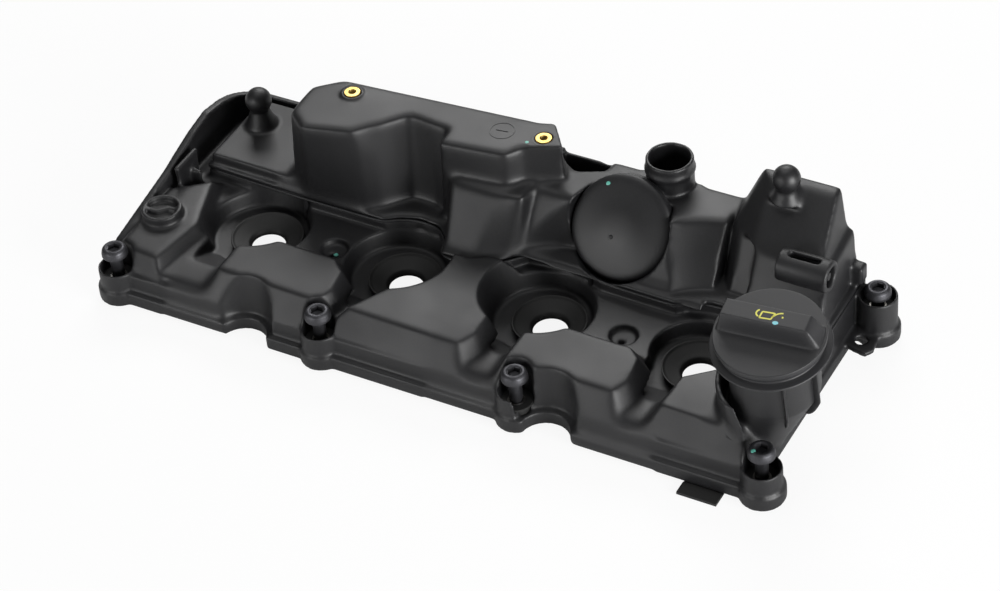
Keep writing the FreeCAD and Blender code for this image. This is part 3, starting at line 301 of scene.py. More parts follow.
@dataclass(frozen=True)
class Metal(Finish):
    """A worked metal: its colour changes a little with handling, and fine tool marks break its shine."""

    name: str
    colour: str
    stain: str
    roughness: float
    mark_mm: float
    mark_depth_mm: float = 0.01
    stain_mm: float = 4.0
    across: tuple[float, float, float] = (1.0, 1.0, 12.0)

    def build(self) -> bpy.types.Material:
        """Principled metal with stains and tool marks stretched round the turned faces."""
        material, tree, output = new_material(self.name)
        place = add_node(tree, "ShaderNodeTexCoord").outputs["Object"]
        stretched = add_node(tree, "ShaderNodeMapping", {"Vector": place, "Scale": self.across}).outputs[0]
        marks = noise(tree, stretched, self.mark_mm, 3.0)
        stains = noise(tree, place, self.stain_mm, 5.0)
        low, high = self.roughness - 0.06, self.roughness + 0.08
        gloss = add_node(tree, "ShaderNodeMapRange", {0: stains, 1: 0.3, 2: 0.7, 3: low, 4: high})
        values = {
            "Base Color": blend(tree, stains, self.colour, self.stain),
            "Metallic": 1.0,
            "Roughness": gloss.outputs[0],
            "Normal": relief(tree, marks, 0.4, self.mark_depth_mm),
        }
        finish_off(tree, output, values)
        return material


@dataclass(frozen=True)
class Ink(Finish):
    """Pad-printed ink or a dab of marking paint: a thin, even, slightly glossy film."""

    name: str
    colour: str
    roughness: float = 0.4
    film_mm: float = 0.9
    film_depth_mm: float = 0.02

    def build(self) -> bpy.types.Material:
        """Principled paint with a slightly uneven film."""
        material, tree, output = new_material(self.name)
        place = add_node(tree, "ShaderNodeTexCoord").outputs["Object"]
        film = noise(tree, place, self.film_mm, 2.0)
        values = {
            "Base Color": linear(self.colour),
            "Roughness": self.roughness,
            "Normal": relief(tree, film, 0.3, self.film_depth_mm),
        }
        finish_off(tree, output, values)
        return material


NYLON = MouldedNylon()
SHELL_NYLON = MouldedNylon(
    name="nylon_glass_filled_shell",
    bloom="#121214",
    roughness=0.48,
    flow_mm=52.0,
)
CAP_NYLON = MouldedNylon(
    name="nylon_cap_eroded",
    colour="#161618",
    bloom="#1b1b1d",
    roughness=0.54,
    gloss_change=0.03,
    grain_mm=0.8,
)
INNER_NYLON = MouldedNylon(
    name="nylon_inner_plate",
    colour="#2a2a2a",
    bloom="#323231",
    roughness=0.55,
)
RUBBER = MouldedRubber()
MEMBRANE = MouldedRubber(
    name="fluoro_rubber_membrane",
    colour="#211d1c",
    bloom="#2a2625",
    roughness=0.5,
)
BOLT_STEEL = Metal("steel_phosphated_bolt", "#5c5c60", "#3c3c3e", 0.52, 0.7)
SLEEVE_STEEL = Metal("steel_rolled_sleeve", "#8d8c89", "#6d6a65", 0.38, 0.5)
SPRING_STEEL = Metal("steel_spring_wire", "#a3a3a5", "#86868a", 0.26, 0.4)
BRASS = Metal("brass_turned_insert", "#c9ab66", "#a88c4e", 0.34, 0.45)
MARK_GREEN = Ink("paint_green_dab", "#5fb0a0")
PRINT_YELLOW = Ink("ink_yellow_print", "#d8d458")
MARK_TEAL = Ink("paint_teal_dab", "#7fc4cf")


# Surfaces


def weld(positions: np.ndarray, faces: np.ndarray, name: str) -> bpy.types.Object:
    """Makes an object of a grid surface, with doubled seams and poles closed and faces outward.

    Args:
        positions: points in millimetres, one row each.
        faces: quads by point number, one row each.
        name: the object's name.

    Returns:
        The new object, smooth shaded up to sharp edges.

    Raises:
        ValueError: if a point isn't a finite number, since Blender would put it at the origin.
    """
    if not np.isfinite(positions).all():
        raise ValueError("%s has points that aren't finite" % name)
    mesh = bpy.data.meshes.new(name)
    mesh.from_pydata((positions * MM).tolist(), [], faces.tolist())
    work = bmesh.new()
    work.from_mesh(mesh)
    bmesh.ops.remove_doubles(work, verts=work.verts, dist=MERGE)
    bmesh.ops.dissolve_degenerate(work, edges=work.edges, dist=1e-7)
    bmesh.ops.recalc_face_normals(work, faces=work.faces)
    work.to_mesh(mesh)
    work.free()
    mesh.shade_smooth()
    mesh.set_sharp_from_angle(angle=math.radians(CREASE_DEGREES))
    thing = bpy.data.objects.new(name, mesh)
    bpy.context.scene.collection.objects.link(thing)
    return thing


def grid_faces(rows: int, columns: int, start: int = 0) -> np.ndarray:
    """Quads over a grid of points that runs row by row.

    Args:
        rows: points along the first parameter.
        columns: points along the second parameter.
        start: the number of the grid's first point.

    Returns:
        Four point numbers a face.
    """
    row, column = np.mgrid[0 : rows - 1, 0 : columns - 1]
    corner = start + row * columns + column
    return np.stack([corner, corner + 1, corner + columns + 1, corner + columns], -1).reshape(-1, 4)


def rounded(points: np.ndarray, reach: float, steps: int = 5, closed: bool = False) -> np.ndarray:
    """A corner path with each corner turned in a parabola.

    At a corner B, between A and C at most `reach` away on its two sides, the path is
    (1-t)^2 A + 2t(1-t) B + t^2 C.

    Args:
        points: corners, one row each.
        reach: how far from a corner its curve starts.
        steps: points on each curve.
        closed: whether the path returns to its start.

    Returns:
        The rounded path's points.
    """
    before = np.roll(points, 1, 0) - points
    after = np.roll(points, -1, 0) - points
    length_before = np.linalg.norm(before, axis=1, keepdims=True)
    length_after = np.linalg.norm(after, axis=1, keepdims=True)
    start = points + before * np.minimum(reach / np.maximum(length_before, 1e-9), 0.5)
    end = points + after * np.minimum(reach / np.maximum(length_after, 1e-9), 0.5)
    part = np.linspace(0, 1, steps)[None, :, None]
    corner_pull = 2 * part * (1 - part) * points[:, None]
    curves = (1 - part) ** 2 * start[:, None] + corner_pull + part**2 * end[:, None]
    if not closed:
        curves[0] = points[0]
        curves[-1] = points[-1]
    return curves.reshape(-1, points.shape[1])


@dataclass(frozen=True)
class Axis:
    """A leaning axis: its foot in millimetres and its turn about X, then about itself."""

    foot: tuple[float, float, float]
    lean: float = 0.0
    spin: float = 0.0

    def turn(self) -> np.ndarray:
        """The rotation from the axis's own frame to the model's."""
        lean, spin = math.radians(self.lean), math.radians(self.spin)
        cl, sl = math.cos(lean), math.sin(lean)
        cs, ss = math.cos(spin), math.sin(spin)
        about_x = np.array([[1, 0, 0], [0, cl, -sl], [0, sl, cl]])
        about_z = np.array([[cs, -ss, 0], [ss, cs, 0], [0, 0, 1]])
        return about_x @ about_z

    def carry(self, points: np.ndarray) -> np.ndarray:
        """Points from the axis's own frame, in the model's frame."""
        return points @ self.turn().T + np.array(self.foot)


def turned(name: str, profile: np.ndarray, axis: Axis, sides: int = 96) -> bpy.types.Object:
    """A surface of revolution: (r(t) cos a, r(t) sin a, h(t)) on a leaning axis.

    Args:
        name: the object's name.
        profile: radius and height in millimetres, one row a point.
        axis: where the surface stands.
        sides: points round the circle.

    Returns:
        The new object.
    """
    angle = np.linspace(0, 2 * np.pi, sides + 1)[:, None]
    radius, height = profile[:, 0][None], profile[:, 1][None]
    circle = [radius * np.cos(angle), radius * np.sin(angle), height + 0 * angle]
    points = np.stack(circle, -1).reshape(-1, 3)
    return weld(axis.carry(points), grid_faces(sides + 1, len(profile)), name)


def swept(
    name: str,
    path: np.ndarray,
    radii: np.ndarray,
    sides: int = 16,
    closed: bool = False,
) -> bpy.types.Object:
    """A round bar along a path: P(s) + r(s) (cos a N(s) + sin a B(s)).

    Args:
        name: the object's name.
        path: the path's points in millimetres.
        radii: the bar's radius at each point.
        sides: points round the bar.
        closed: whether the path returns to its start.

    Returns:
        The new object, with a flat disc over each open end.
    """
    if closed:
        path = np.vstack([path, path[:1]])
        radii = np.append(radii, radii[0])
    tangent = np.gradient(path, axis=0)
    if closed:
        tangent[0] = tangent[-1] = path[1] - path[-2]
    else:
        path = np.vstack([path[:1], path, path[-1:]])
        tangent = np.vstack([tangent[:1], tangent, tangent[-1:]])
        radii = np.concatenate([[0.0], radii, [0.0]])
    tangent /= np.linalg.norm(tangent, axis=1, keepdims=True)
    # Where the path climbs steeply, +Z is no good reference, and +X takes its place.
    steep = np.abs(tangent[:, 2:3]) > 0.9
    upright = np.where(steep, np.array([[1.0, 0.0, 0.0]]), np.array([[0.0, 0.0, 1.0]]))
    side = np.cross(tangent, upright)
    side /= np.linalg.norm(side, axis=1, keepdims=True)
    top = np.cross(side, tangent)
    angle = np.linspace(0, 2 * np.pi, sides + 1)[None, :, None]
    circle = np.cos(angle) * side[:, None] + np.sin(angle) * top[:, None]
    points = path[:, None] + radii[:, None, None] * circle
    return weld(points.reshape(-1, 3), grid_faces(len(path), sides + 1), name)


@dataclass(frozen=True)
class SoftRegion:
    """A part of a moulding whose edges are rounded more than the rest."""

    centre: tuple[float, float, float]
    reach: tuple[float, float, float]
    share: float
    fade: float = 6.0

    def weight(self, points: np.ndarray) -> np.ndarray:
        """The share at each point, fading out past the region's sides."""
        past = (np.abs(points - np.array(self.centre)) - np.array(self.reach)).max(1)
        return self.share * np.clip(1 - past / self.fade, 0, 1)


@dataclass(frozen=True)
class SoftCopy:
    """Rounds the edges of a copy of a CAD node, as a mould's radii do.

    Each round moves a point towards the mean M of its neighbours: P + w (M - P) / 2.
    """

    frame: dict
    node: str
    cell: float
    rounds: int
    base: float
    regions: tuple[SoftRegion, ...] = ()
    kept: tuple[SoftRegion, ...] = ()
    faces: int = 180_000

    def soften(self, points: np.ndarray, edges: np.ndarray) -> np.ndarray:
        """Moves the points of a closed mesh.

        Args:
            points: places in millimetres.
            edges: pairs of point numbers.

        Returns:
            The moved points.
        """
        weight = np.full(len(points), self.base)
        for region in self.regions:
            weight = np.maximum(weight, region.weight(points))
        for region in self.kept:
            inside = SoftRegion(region.centre, region.reach, 1.0, region.fade).weight(points)
            weight = weight * (1 - inside) + region.share * np.minimum(inside, 1.0)
        start, end = np.concatenate([edges, edges[:, ::-1]]).T
        count = np.bincount(start, minlength=len(points))[:, None]
        for step in range(self.rounds):
            mean = np.stack([np.bincount(start, points[end, k], len(points)) for k in range(3)], 1) / count
            share = (weight * self.rounds > step)[:, None]
            points = points + share * 0.5 * (mean - points)
        return points

    def applied(self, thing: bpy.types.Object) -> bpy.types.Mesh:
        """Gives an object the mesh that its modifiers make, and returns that mesh."""
        graph = bpy.context.evaluated_depsgraph_get()
        mesh = bpy.data.meshes.new_from_object(thing.evaluated_get(graph))
        thing.modifiers.clear()
        thing.data = mesh
        return mesh

    def build(self, name: str) -> bpy.types.Object:
        """Makes the softened copy and lets it stand for its node.

        Args:
            name: the new object's name.

        Returns:
            The new object.
        """
        source = self.frame["nodes"][self.node]
        mesh = source.data.copy()
        mesh.name = name
        mesh.materials.clear()
        work = bmesh.new()
        work.from_mesh(mesh)
        bmesh.ops.remove_doubles(work, verts=work.verts, dist=1e-6)
        work.to_mesh(mesh)
        work.free()
        thing = bpy.data.objects.new(name, mesh)
        bpy.context.scene.collection.objects.link(thing)
        remesh = thing.modifiers.new("cells", "REMESH")
        remesh.mode = "VOXEL"
        remesh.voxel_size = self.cell * MM
        fine = self.applied(thing)
        points = np.empty(len(fine.vertices) * 3)
        fine.vertices.foreach_get("co", points)
        edges = np.empty(len(fine.edges) * 2, np.int64)
        fine.edges.foreach_get("vertices", edges)
        moved = self.soften(points.reshape(-1, 3) / MM, edges.reshape(-1, 2)) * MM
        fine.vertices.foreach_set("co", moved.ravel())
        fine.update()
        fine.calc_loop_triangles()
        triangles = len(fine.loop_triangles)
        if triangles > self.faces:
            thin = thing.modifiers.new("thin", "DECIMATE")
            thin.ratio = self.faces / triangles
            self.applied(thing)
        thing.data.name = name
        thing.data.shade_smooth()
        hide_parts(self.node)
        return thing


def dress(thing: bpy.types.Object, finish: Finish, body: str = "cover") -> None:
    """Gives a piece its finish and the body it moves with.

    Args:
        thing: the piece.
        finish: its finish.
        body: the CAD body it rides on.
    """
    thing.data.materials.clear()
    thing.data.materials.append(finish.material())
    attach(thing, body)
    LOG.info("%s: %d faces", thing.name, len(thing.data.polygons))


def paint_node(frame: dict, node: str, finish: Finish) -> None:
    """Gives a CAD node that is shown as it is its finish."""
    mesh = frame["nodes"][node].data
    mesh.materials.clear()
    mesh.materials.append(finish.material())
    LOG.info("%s: %d faces, as in the CAD", node, len(mesh.polygons))


# The object's sub-assemblies

NECK = Axis((188.0, -24.0, 25.0), lean=9.0, spin=8.0)
VALVE = Axis((63.6, 47.7, 51.8), lean=55.0)
WELL_PITCH = 88.0
WELLS = tuple(WELL_PITCH * (index - 1.5) for index in range(4))


@dataclass
class Housing:
    """The lower moulding: flange, deck, hills, bolt bosses and filler neck."""

    web_directions: tuple[float, ...] = (-53.0, -8.0)
    web_span: tuple[float, float] = (12.0, 53.0)
    web_thickness: float = 1.8
    web_reach: float = 25.8
    web_root: float = 12.0
    web_foot: float = 16.0
    web_flare: float = 3.0
    cell: float = 0.85
    edge_rounds: int = 70
    edge_share: float = 0.06
    pillar_radius: float = 1.7
    pillars: tuple[tuple[float, float, float, float], ...] = (
        (-121.5, 25.2, 15.0, 29.5),
        (54.4, 29.0, 15.0, 29.5),
    )

    def web(self, name: str, direction: float) -> bpy.types.Object:
        """A thin upright web on the neck: a rounded oblong of reach R(z) carried up the neck's axis.

        The outer edge runs at R(z) = R0 + (R1 - R0) sqrt(min(f z, 1)), with z from 0 at the foot to 1 at
        the top and f the flare, so it is at its full reach from a third of the height up.

        Args:
            name: the object's name.
            direction: its direction round the neck, in degrees from +X.

        Returns:
            The new object.
        """
        low, high = self.web_span
        level = np.linspace(0, 1, 41)
        flare = np.clip(level * self.web_flare, 0, 1) ** 0.5
        reach = self.web_foot + (self.web_reach - self.web_foot) * flare
        half = self.web_thickness / 2
        oblong = np.array([(0, -half), (1, -half), (1, half), (0, half)], float)
        loop = rounded(oblong, 0.5, 5, closed=True)
        loop = np.vstack([loop, loop[:1]])
        radial = self.web_root + loop[None, :, 0] * (reach[:, None] - self.web_root)
        aside = np.broadcast_to(loop[None, :, 1], radial.shape)
        upward = np.broadcast_to((low + (high - low) * level)[:, None], radial.shape)
        rows = np.dstack([radial, aside, upward])
        foot, top = (end.mean(1, keepdims=True).repeat(rows.shape[1], 1) for end in (rows[:1], rows[-1:]))
        grid = np.concatenate([foot, rows, top])
        axis = Axis(NECK.foot, lean=NECK.lean, spin=direction)
        return weld(axis.carry(grid.reshape(-1, 3)), grid_faces(len(grid), grid.shape[1]), name)

    def build(self, frame: dict) -> None:
        """Makes the softened moulding, the neck's webs and the small pillars under the seam."""
        copy = SoftCopy(
            frame,
            "cover_housing",
            self.cell,
            self.edge_rounds,
            self.edge_share,
            regions=(
                SoftRegion((-50, -30, 33), (145, 24, 6), 0.24),
                SoftRegion((-178, -20, 30), (20, 45, 6), 0.3),
                SoftRegion((176, -26, 26), (12, 26, 12), 0.5, 10),
                SoftRegion((24, -50, 19), (16, 10, 12), 1.0, 8),
                SoftRegion((112, -52, 19), (18, 10, 12), 1.0, 8),
                SoftRegion((-140, -52, 19), (16, 9, 12), 0.9, 8),
            ),
            kept=(SoftRegion((-185, -21.3, 36), (12, 12, 4), 0.03, 2),),
        )
        dress(copy.build("housing_moulding"), NYLON)
        for index, direction in enumerate(self.web_directions):
            dress(self.web("neck_web_%d" % (index + 1), direction), NYLON)
        for index, (x, y, low, high) in enumerate(self.pillars):
            path = np.linspace((x, y, low), (x, y, high), 12)
            pillar = swept("seam_pillar_%d" % (index + 1), path, np.full(12, self.pillar_radius))
            dress(pillar, NYLON)


@dataclass
class SeparatorShell:
    """The upper moulding of the oil separator, with the weld bead round its foot."""

    cell: float = 0.8
    edge_rounds: int = 90
    edge_share: float = 0.07
    bead_radius: float = 0.75
    seam_height: float = 30.0
    date_ring: tuple[float, float, float] = (-12.2, 61.4, 84.0)
    pin_foot: tuple[float, float, float] = (162.8, 40.0, 66.2)
    pin_end: tuple[float, float, float] = (187.0, 40.0, 66.2)
    pin_radius: float = 2.1
    date_radius: float = 7.0
    date_rise: float = 0.22

    def seam(self) -> np.ndarray:
        """The corners of the welded seam, seen from above."""
        w = WELLS
        return np.array(
            [
                (-186, 26), (w[0] + 10, 24), (w[1] - 26, 24), (w[1] - 19, 29), (w[1] - 8, 32.5),
                (w[1] + 5, 31), (w[1] + 13, 23), (w[1] + 16, 11), (w[1] + 35, 11), (w[1] + 50, 19),
                (w[2] - 28, 31), (w[2] - 6, 33), (w[2] + 8, 30), (w[2] + 18, 26), (w[3] - 26, 25),
                (w[3] - 20, 30), (w[3] - 8, 33), (w[3] + 20, 33), (w[3] + 30, 28), (188, 28),
                (188, 86), (-186, 86),
            ],
            float,
        )

    def build(self, frame: dict) -> None:
        """Makes the softened shell, its weld bead, the pin in the clip tube and the date ring."""
        copy = SoftCopy(
            frame,
            "separator_shell",
            self.cell,
            self.edge_rounds,
            self.edge_share,
            regions=(
                SoftRegion((-66, 50, 66), (68, 44, 30), 0.75, 8),
                SoftRegion((-2, 38, 52), (28, 30, 24), 0.55, 8),
                SoftRegion((100, 60, 60), (62, 34, 14), 0.5, 6),
                SoftRegion((150, 62, 70), (44, 40, 22), 0.45, 6),
            ),
            kept=(
                SoftRegion((77.8, 80.6, 76), (16, 16, 14), 0.03, 4),
                SoftRegion((149.5, 71.5, 99), (12, 12, 8), 0.04, 3),
                SoftRegion((-170.6, 62, 56), (12, 12, 10), 0.04, 3),
                SoftRegion((174, 40, 66.2), (16, 11, 11), 0.05, 3),
                SoftRegion((63.6, 47.7, 51.8), (30, 26, 28), 0.05, 4),
                SoftRegion((-103.6, 58.2, 85), (7, 7, 3), 0.03, 2),
                SoftRegion((11.4, 64.3, 85), (7, 7, 3), 0.03, 2),
            ),
        )
        dress(copy.build("shell_moulding"), SHELL_NYLON)
        path = np.linspace(self.pin_foot, self.pin_end, 14)
        pin = swept("clip_tube_pin", path, np.full(14, self.pin_radius), 24)
        dress(pin, SHELL_NYLON)
        path = rounded(self.seam(), 9.0, 7, closed=True)
        path = np.column_stack([path, np.full(len(path), self.seam_height)])
        bead = swept("seam_weld_bead", path, np.full(len(path), self.bead_radius), 12, closed=True)
        dress(bead, SHELL_NYLON)
        x, y, z = self.date_ring
        outer, inner = self.date_radius, self.date_radius - 0.5
        rise, root = self.date_rise, -0.4
        ring = [(outer, root), (outer - 0.1, rise), (inner + 0.1, rise), (inner, root), (outer, root)]
        dress(turned("mould_date_ring", np.array(ring), Axis((x, y, z)), 96), SHELL_NYLON)
        pointer = np.linspace((x - 3.4, y - 0.4, z), (x + 3.4, y + 0.4, z), 9)
        dress(swept("mould_date_pointer", pointer, np.full(9, 0.3), 12), SHELL_NYLON)


@dataclass
class PressureValve:
    """The pressure valve on the shell: a domed lid over a membrane, a plate and a spring."""

    radius: float = 29.0
    height: float = 6.0
    wall: float = 1.8
    gate_place: tuple[float, float, float] = (-3.0, -5.6, 3.1)
    travel: float = 3.0
    spring_clearance: float = 0.2
    spring_radius: float = 10.6
    spring_wire: float = 0.7
    spring_turns: float = 3.5
    spring_foot: float = -14.9
    spring_height: float = 9.2

    def lid(self) -> np.ndarray:
        """The lid's closed profile, from its crown out, down the drum and back inside."""
        r, h, w = self.radius, self.height, self.wall
        outer = [(0, 3.4), (8, 3.0), (17, 1.6), (r - 3, 0.3), (r - 0.7, -0.9), (r, -2.4), (r, -h)]
        inner = [(r - w, -h), (r - w, -w), (22, -w), (16, 1.3 - w), (8, 2.8 - w), (0, 3.3 - w)]
        return np.vstack([rounded(np.array(outer, float), 3.0, 5), np.array(inner, float)])

    def spring(self) -> None:
        """The coil (R cos wt, R sin wt, z0 + h t), made in place of the CAD spring."""
        part = np.linspace(0, 1, 300)
        angle = 2 * np.pi * self.spring_turns * part
        coil = np.column_stack(
            [
                self.spring_radius * np.cos(angle),
                self.spring_radius * np.sin(angle),
                self.spring_foot + self.spring_height * part,
            ]
        )
        thing = swept("valve_spring_coil", VALVE.carry(coil), np.full(len(coil), self.spring_wire), 12)
        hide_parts("pcv_spring")
        dress(thing, SPRING_STEEL)
        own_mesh(thing)

    def build(self, frame: dict) -> None:
        """Makes the lid and the spring and dresses the membrane and its plate."""
        lid = turned("valve_lid", self.lid(), VALVE, 128)
        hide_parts("pcv_cap")
        dress(lid, SHELL_NYLON)
        gate = np.array([(0, 0.9), (0.9, 0.8), (1.2, 0.3), (1.2, -0.6), (0, -0.6)])
        place = VALVE.carry(np.array([self.gate_place]))[0]
        gate_axis = Axis(tuple(place), lean=VALVE.lean)
        dress(turned("valve_lid_gate", gate, gate_axis, 32), SHELL_NYLON)
        paint_node(frame, "pcv_diaphragm", MEMBRANE)
        paint_node(frame, "pcv_plate", INNER_NYLON)
        self.spring()


class Sign(Enum):
    """The printed strokes of the oil can on the cap."""

    CAN = "can"
    SPOUT = "spout"
    HANDLE = "handle"
    DROP = "drop"


@dataclass
class FillerCap:
    """The oil filler cap with its grip, bayonet plug, seal and printed sign."""

    face: float = 65.5
    disc_radius: float = 28.3
    groove_radius: float = 26.6
    skirt_radius: float = 30.6
    lip: float = 56.5
    seat: float = 62.3
    plug_radius: float = 15.6
    plug_foot: float = 50.1
    lug_radius: float = 18.4
    lug_top: float = 52.9
    grip_height: float = 10.0
    grip_turn: float = -3.0
    crest: tuple[float, float] = (-2.3, 7.3)
    flank: float = 3.4
    ends: tuple[float, float] = (-27.0, 28.0)
    end_slopes: tuple[float, float] = (3.4, 9.0)
    chamfer: float = 0.9
    stroke: float = 0.85
    print_film: float = 0.07
    dab_film: float = 0.1
    dab_half: tuple[float, float] = (1.5, 1.1)
    lug_sine: float = 0.96
    sign_at: tuple[float, float] = (-1.4, 2.6)
    dab_at: tuple[float, float] = (4.1, -1.7)

    def rise(self, x: np.ndarray, y: np.ndarray) -> np.ndarray:
        """The grip's height over the face: a flat crest with sloped flanks and ends.

        With s the smooth step 3t^2 - 2t^3 and (u, v) the place turned into the grip's own frame, the
        height is H s(flanks in v) s(ends in u), drawn to nothing at the rim.

        Args:
            x: places on the cap along X, in millimetres.
            y: places on it along Y.

        Returns:
            The height at each place.
        """
        turn = math.radians(self.grip_turn)
        u = x * math.cos(turn) + y * math.sin(turn)
        v = y * math.cos(turn) - x * math.sin(turn)
        front, back = self.crest
        left, right = self.ends
        sides = np.minimum(v - front, back - v) / self.flank + 1
        tips = np.minimum((u - left) / self.end_slopes[0], (right - u) / self.end_slopes[1])
        rim = self.disc_radius - self.chamfer - np.hypot(x, y)
        steps = [np.clip(part, 0, 1) for part in (sides, tips, rim)]
        return self.grip_height * np.prod([part**2 * (3 - 2 * part) for part in steps], axis=0)

    def profile(self) -> np.ndarray:
        """The cap's closed profile: face, rim, groove, skirt, seat and plug."""
        r, z, lip = self.disc_radius, self.face, self.lip
        groove, skirt, plug = self.groove_radius, self.skirt_radius, self.plug_radius
        face = np.column_stack([np.linspace(0, r - self.chamfer, 84), np.full(84, z)])
        rim = [
            (r - self.chamfer, z), (r, z), (r, z - 3.0), (groove, z - 3.8), (groove, lip + 2.4),
            (skirt, lip + 1.3), (skirt, lip), (skirt - 1.8, lip), (groove - 1.2, lip + 1.6),
            (groove - 1.2, self.seat),
        ]
        stem = [
            (groove - 1.2, self.seat), (plug, self.seat), (plug, self.lug_top + 0.1),
            (plug, self.lug_top - 0.1), (plug, self.plug_foot), (0, self.plug_foot),
        ]
        return np.vstack([face, rounded(np.array(rim), 0.7, 5)[1:], rounded(np.array(stem), 0.3, 4)[1:]])

    def body(self) -> bpy.types.Object:
        """The cap as one closed surface of revolution, its face raised into the grip.

        The surface is (r(t) cos a, r(t) sin a, h(t) + G(r cos a, r sin a)), with G the grip's height on
        the face and nothing below it, and r pushed out to the lug radius within 16 degrees of +Y and -Y.
        """
        profile = self.profile()
        angle = np.linspace(0, 2 * np.pi, 289)[:, None]
        radius, height = profile[:, 0][None] + 0 * angle, profile[:, 1][None] + 0 * angle
        at_side = np.abs(np.sin(angle)) > self.lug_sine
        lug = at_side & (height <= self.lug_top) & (radius > self.plug_radius - 0.4)
        radius = np.where(lug, self.lug_radius, radius)
        x, y = radius * np.cos(angle), radius * np.sin(angle)
        height = height + np.where(height >= self.face - 1e-6, self.rise(x, y), 0.0)
        points = np.stack([x, y, height], -1).reshape(-1, 3)
        return weld(NECK.carry(points), grid_faces(len(angle), len(profile)), "cap_moulding")

    def laid(self, name: str, low_edge: np.ndarray, high_edge: np.ndarray, film: float) -> bpy.types.Object:
        """A thin film between two curves, laid over the face and the grip.

        The film is two sheets, one above the surface and one below it, left open round the rim.

        Args:
            name: the object's name.
            low_edge: one edge as places on the cap, x and y in millimetres.
            high_edge: the other edge, with as many points.
            film: how far it stands above the surface, in millimetres.

        Returns:
            The new object.
        """
        across = np.linspace(0, 1, 7)[None, :, None]
        flat = (1 - across) * low_edge[:, None] + across * high_edge[:, None]
        base = self.face + self.rise(flat[..., 0], flat[..., 1])
        sheets = [np.dstack([flat, base + film]), np.dstack([flat, base - film])]
        points = np.concatenate([sheet.reshape(-1, 3) for sheet in sheets])
        rows = len(low_edge)
        faces = np.concatenate([grid_faces(rows, 7), grid_faces(rows, 7, rows * 7)[:, ::-1]])
        return weld(NECK.carry(points), faces, name)

    def centre_line(self, sign: Sign) -> np.ndarray:
        """The middle of one printed stroke of the oil can, in millimetres from the can's middle."""
        u = np.linspace(0, 1, 25)
        if sign is Sign.CAN:
            corners = np.array([(-3.1, -2.6), (2.7, -2.6), (3.9, 1.4), (-2.5, 1.4), (-3.1, -2.6)])
            return rounded(corners, 0.5, 4)
        if sign is Sign.SPOUT:
            return np.column_stack([2.9 + 4.9 * u, -1.2 + 3.4 * u + 0.9 * np.sin(np.pi * u)])
        if sign is Sign.HANDLE:
            turn = np.pi * (0.62 + 0.8 * u)
            return np.column_stack([-3.4 + 1.9 * np.cos(turn), 0.2 + 2.1 * np.sin(turn)])
        return np.column_stack([8.1 + 0 * u, -0.9 + 1.1 * u])

    def strokes(self) -> None:
        """Prints the oil can: each stroke lies half its width to both sides of its middle."""
        for sign in Sign:
            line = self.centre_line(sign) + np.array(self.sign_at)
            along = np.gradient(line, axis=0)
            along /= np.maximum(np.linalg.norm(along, axis=1, keepdims=True), 1e-9)
            aside = np.column_stack([-along[:, 1], along[:, 0]]) * self.stroke / 2
            stroke = self.laid("print_oil_%s" % sign.value, line - aside, line + aside, self.print_film)
            dress(stroke, PRINT_YELLOW, "cap")

    def build(self, frame: dict) -> None:
        """Makes the cap, the print on it and the dab of paint."""
        cap = self.body()
        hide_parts("filler_cap")
        dress(cap, CAP_NYLON, "cap")
        self.strokes()
        u = np.linspace(0, np.pi, 25)
        x, y = self.dab_at
        wide, deep = self.dab_half
        low = np.column_stack([x + wide * np.cos(u), y - deep * np.sin(u)])
        high = np.column_stack([x + wide * np.cos(u), y + deep * np.sin(u)])
        dress(self.laid("cap_paint_dab", low, high, self.dab_film), MARK_TEAL, "cap")
        paint_node(frame, "filler_cap_seal", RUBBER)


@dataclass
class Fasteners:
    """Eight bolts, each in a grommet with a steel sleeve."""

    head_radius: float = 7.2
    point_height: float = 0.3
    sides: int = 72
    bolts: tuple[tuple[float, float], ...] = (
        (-193.3, -57.5),
        (-63.7, -57.5),
        (54.4, -57.5),
        (193.3, -57.5),
        (198.5, 77.0),
        (-128.0, 94.4),
        (-22.0, 94.4),
        (105.6, 94.4),
    )
    socket: tuple[tuple[float, float], ...] = ((3.6, 33.4), (3.5, 30.8), (0.0, 30.2))

    def bolt(self) -> np.ndarray:
        """The bolt's profile, from its point up to the floor of its hexagon socket."""
        body = [(0, 0), (2.2, 0), (3, 1), (3, 15), (3.5, 16), (3.5, 29)]
        r = self.head_radius
        head = np.array([(r, 29), (r, 30.4), (6.6, 32.8), (5.4, 34), (4.2, 34), (3.7, 33.6)], float)
        return np.vstack([np.array(body, float), rounded(head, 0.5, 4), np.array(self.socket, float)])

    def build(self, frame: dict) -> None:
        """Makes the bolts and dresses the sleeves and grommets."""
        angle = np.linspace(0, 2 * np.pi, self.sides + 1)[:, None]
        profile = self.bolt()
        radius, height = profile[:, 0][None] + 0 * angle, profile[:, 1][None] + 0 * angle
        # A hexagon's radius is its flat's distance over cos(a), with a taken from the middle of each flat.
        hexagon = math.cos(math.pi / 6) / np.cos(np.mod(angle, math.pi / 3) - math.pi / 6)
        socket = (np.arange(len(profile)) >= len(profile) - len(self.socket))[None]
        radius = np.where(socket, radius * hexagon, radius)
        one = np.stack([radius * np.cos(angle), radius * np.sin(angle), height], -1).reshape(-1, 3)
        places = np.array([(x, y, self.point_height) for x, y in self.bolts])
        points = (one[None] + places[:, None]).reshape(-1, 3)
        starts = (len(one) * index for index in range(len(places)))
        faces = np.concatenate([grid_faces(len(angle), len(profile), start) for start in starts])
        bolts = weld(points, faces, "cover_bolt_set")
        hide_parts("cover_bolts")
        dress(bolts, BOLT_STEEL)
        paint_node(frame, "bolt_sleeves", SLEEVE_STEEL)
        paint_node(frame, "bolt_grommets", RUBBER)


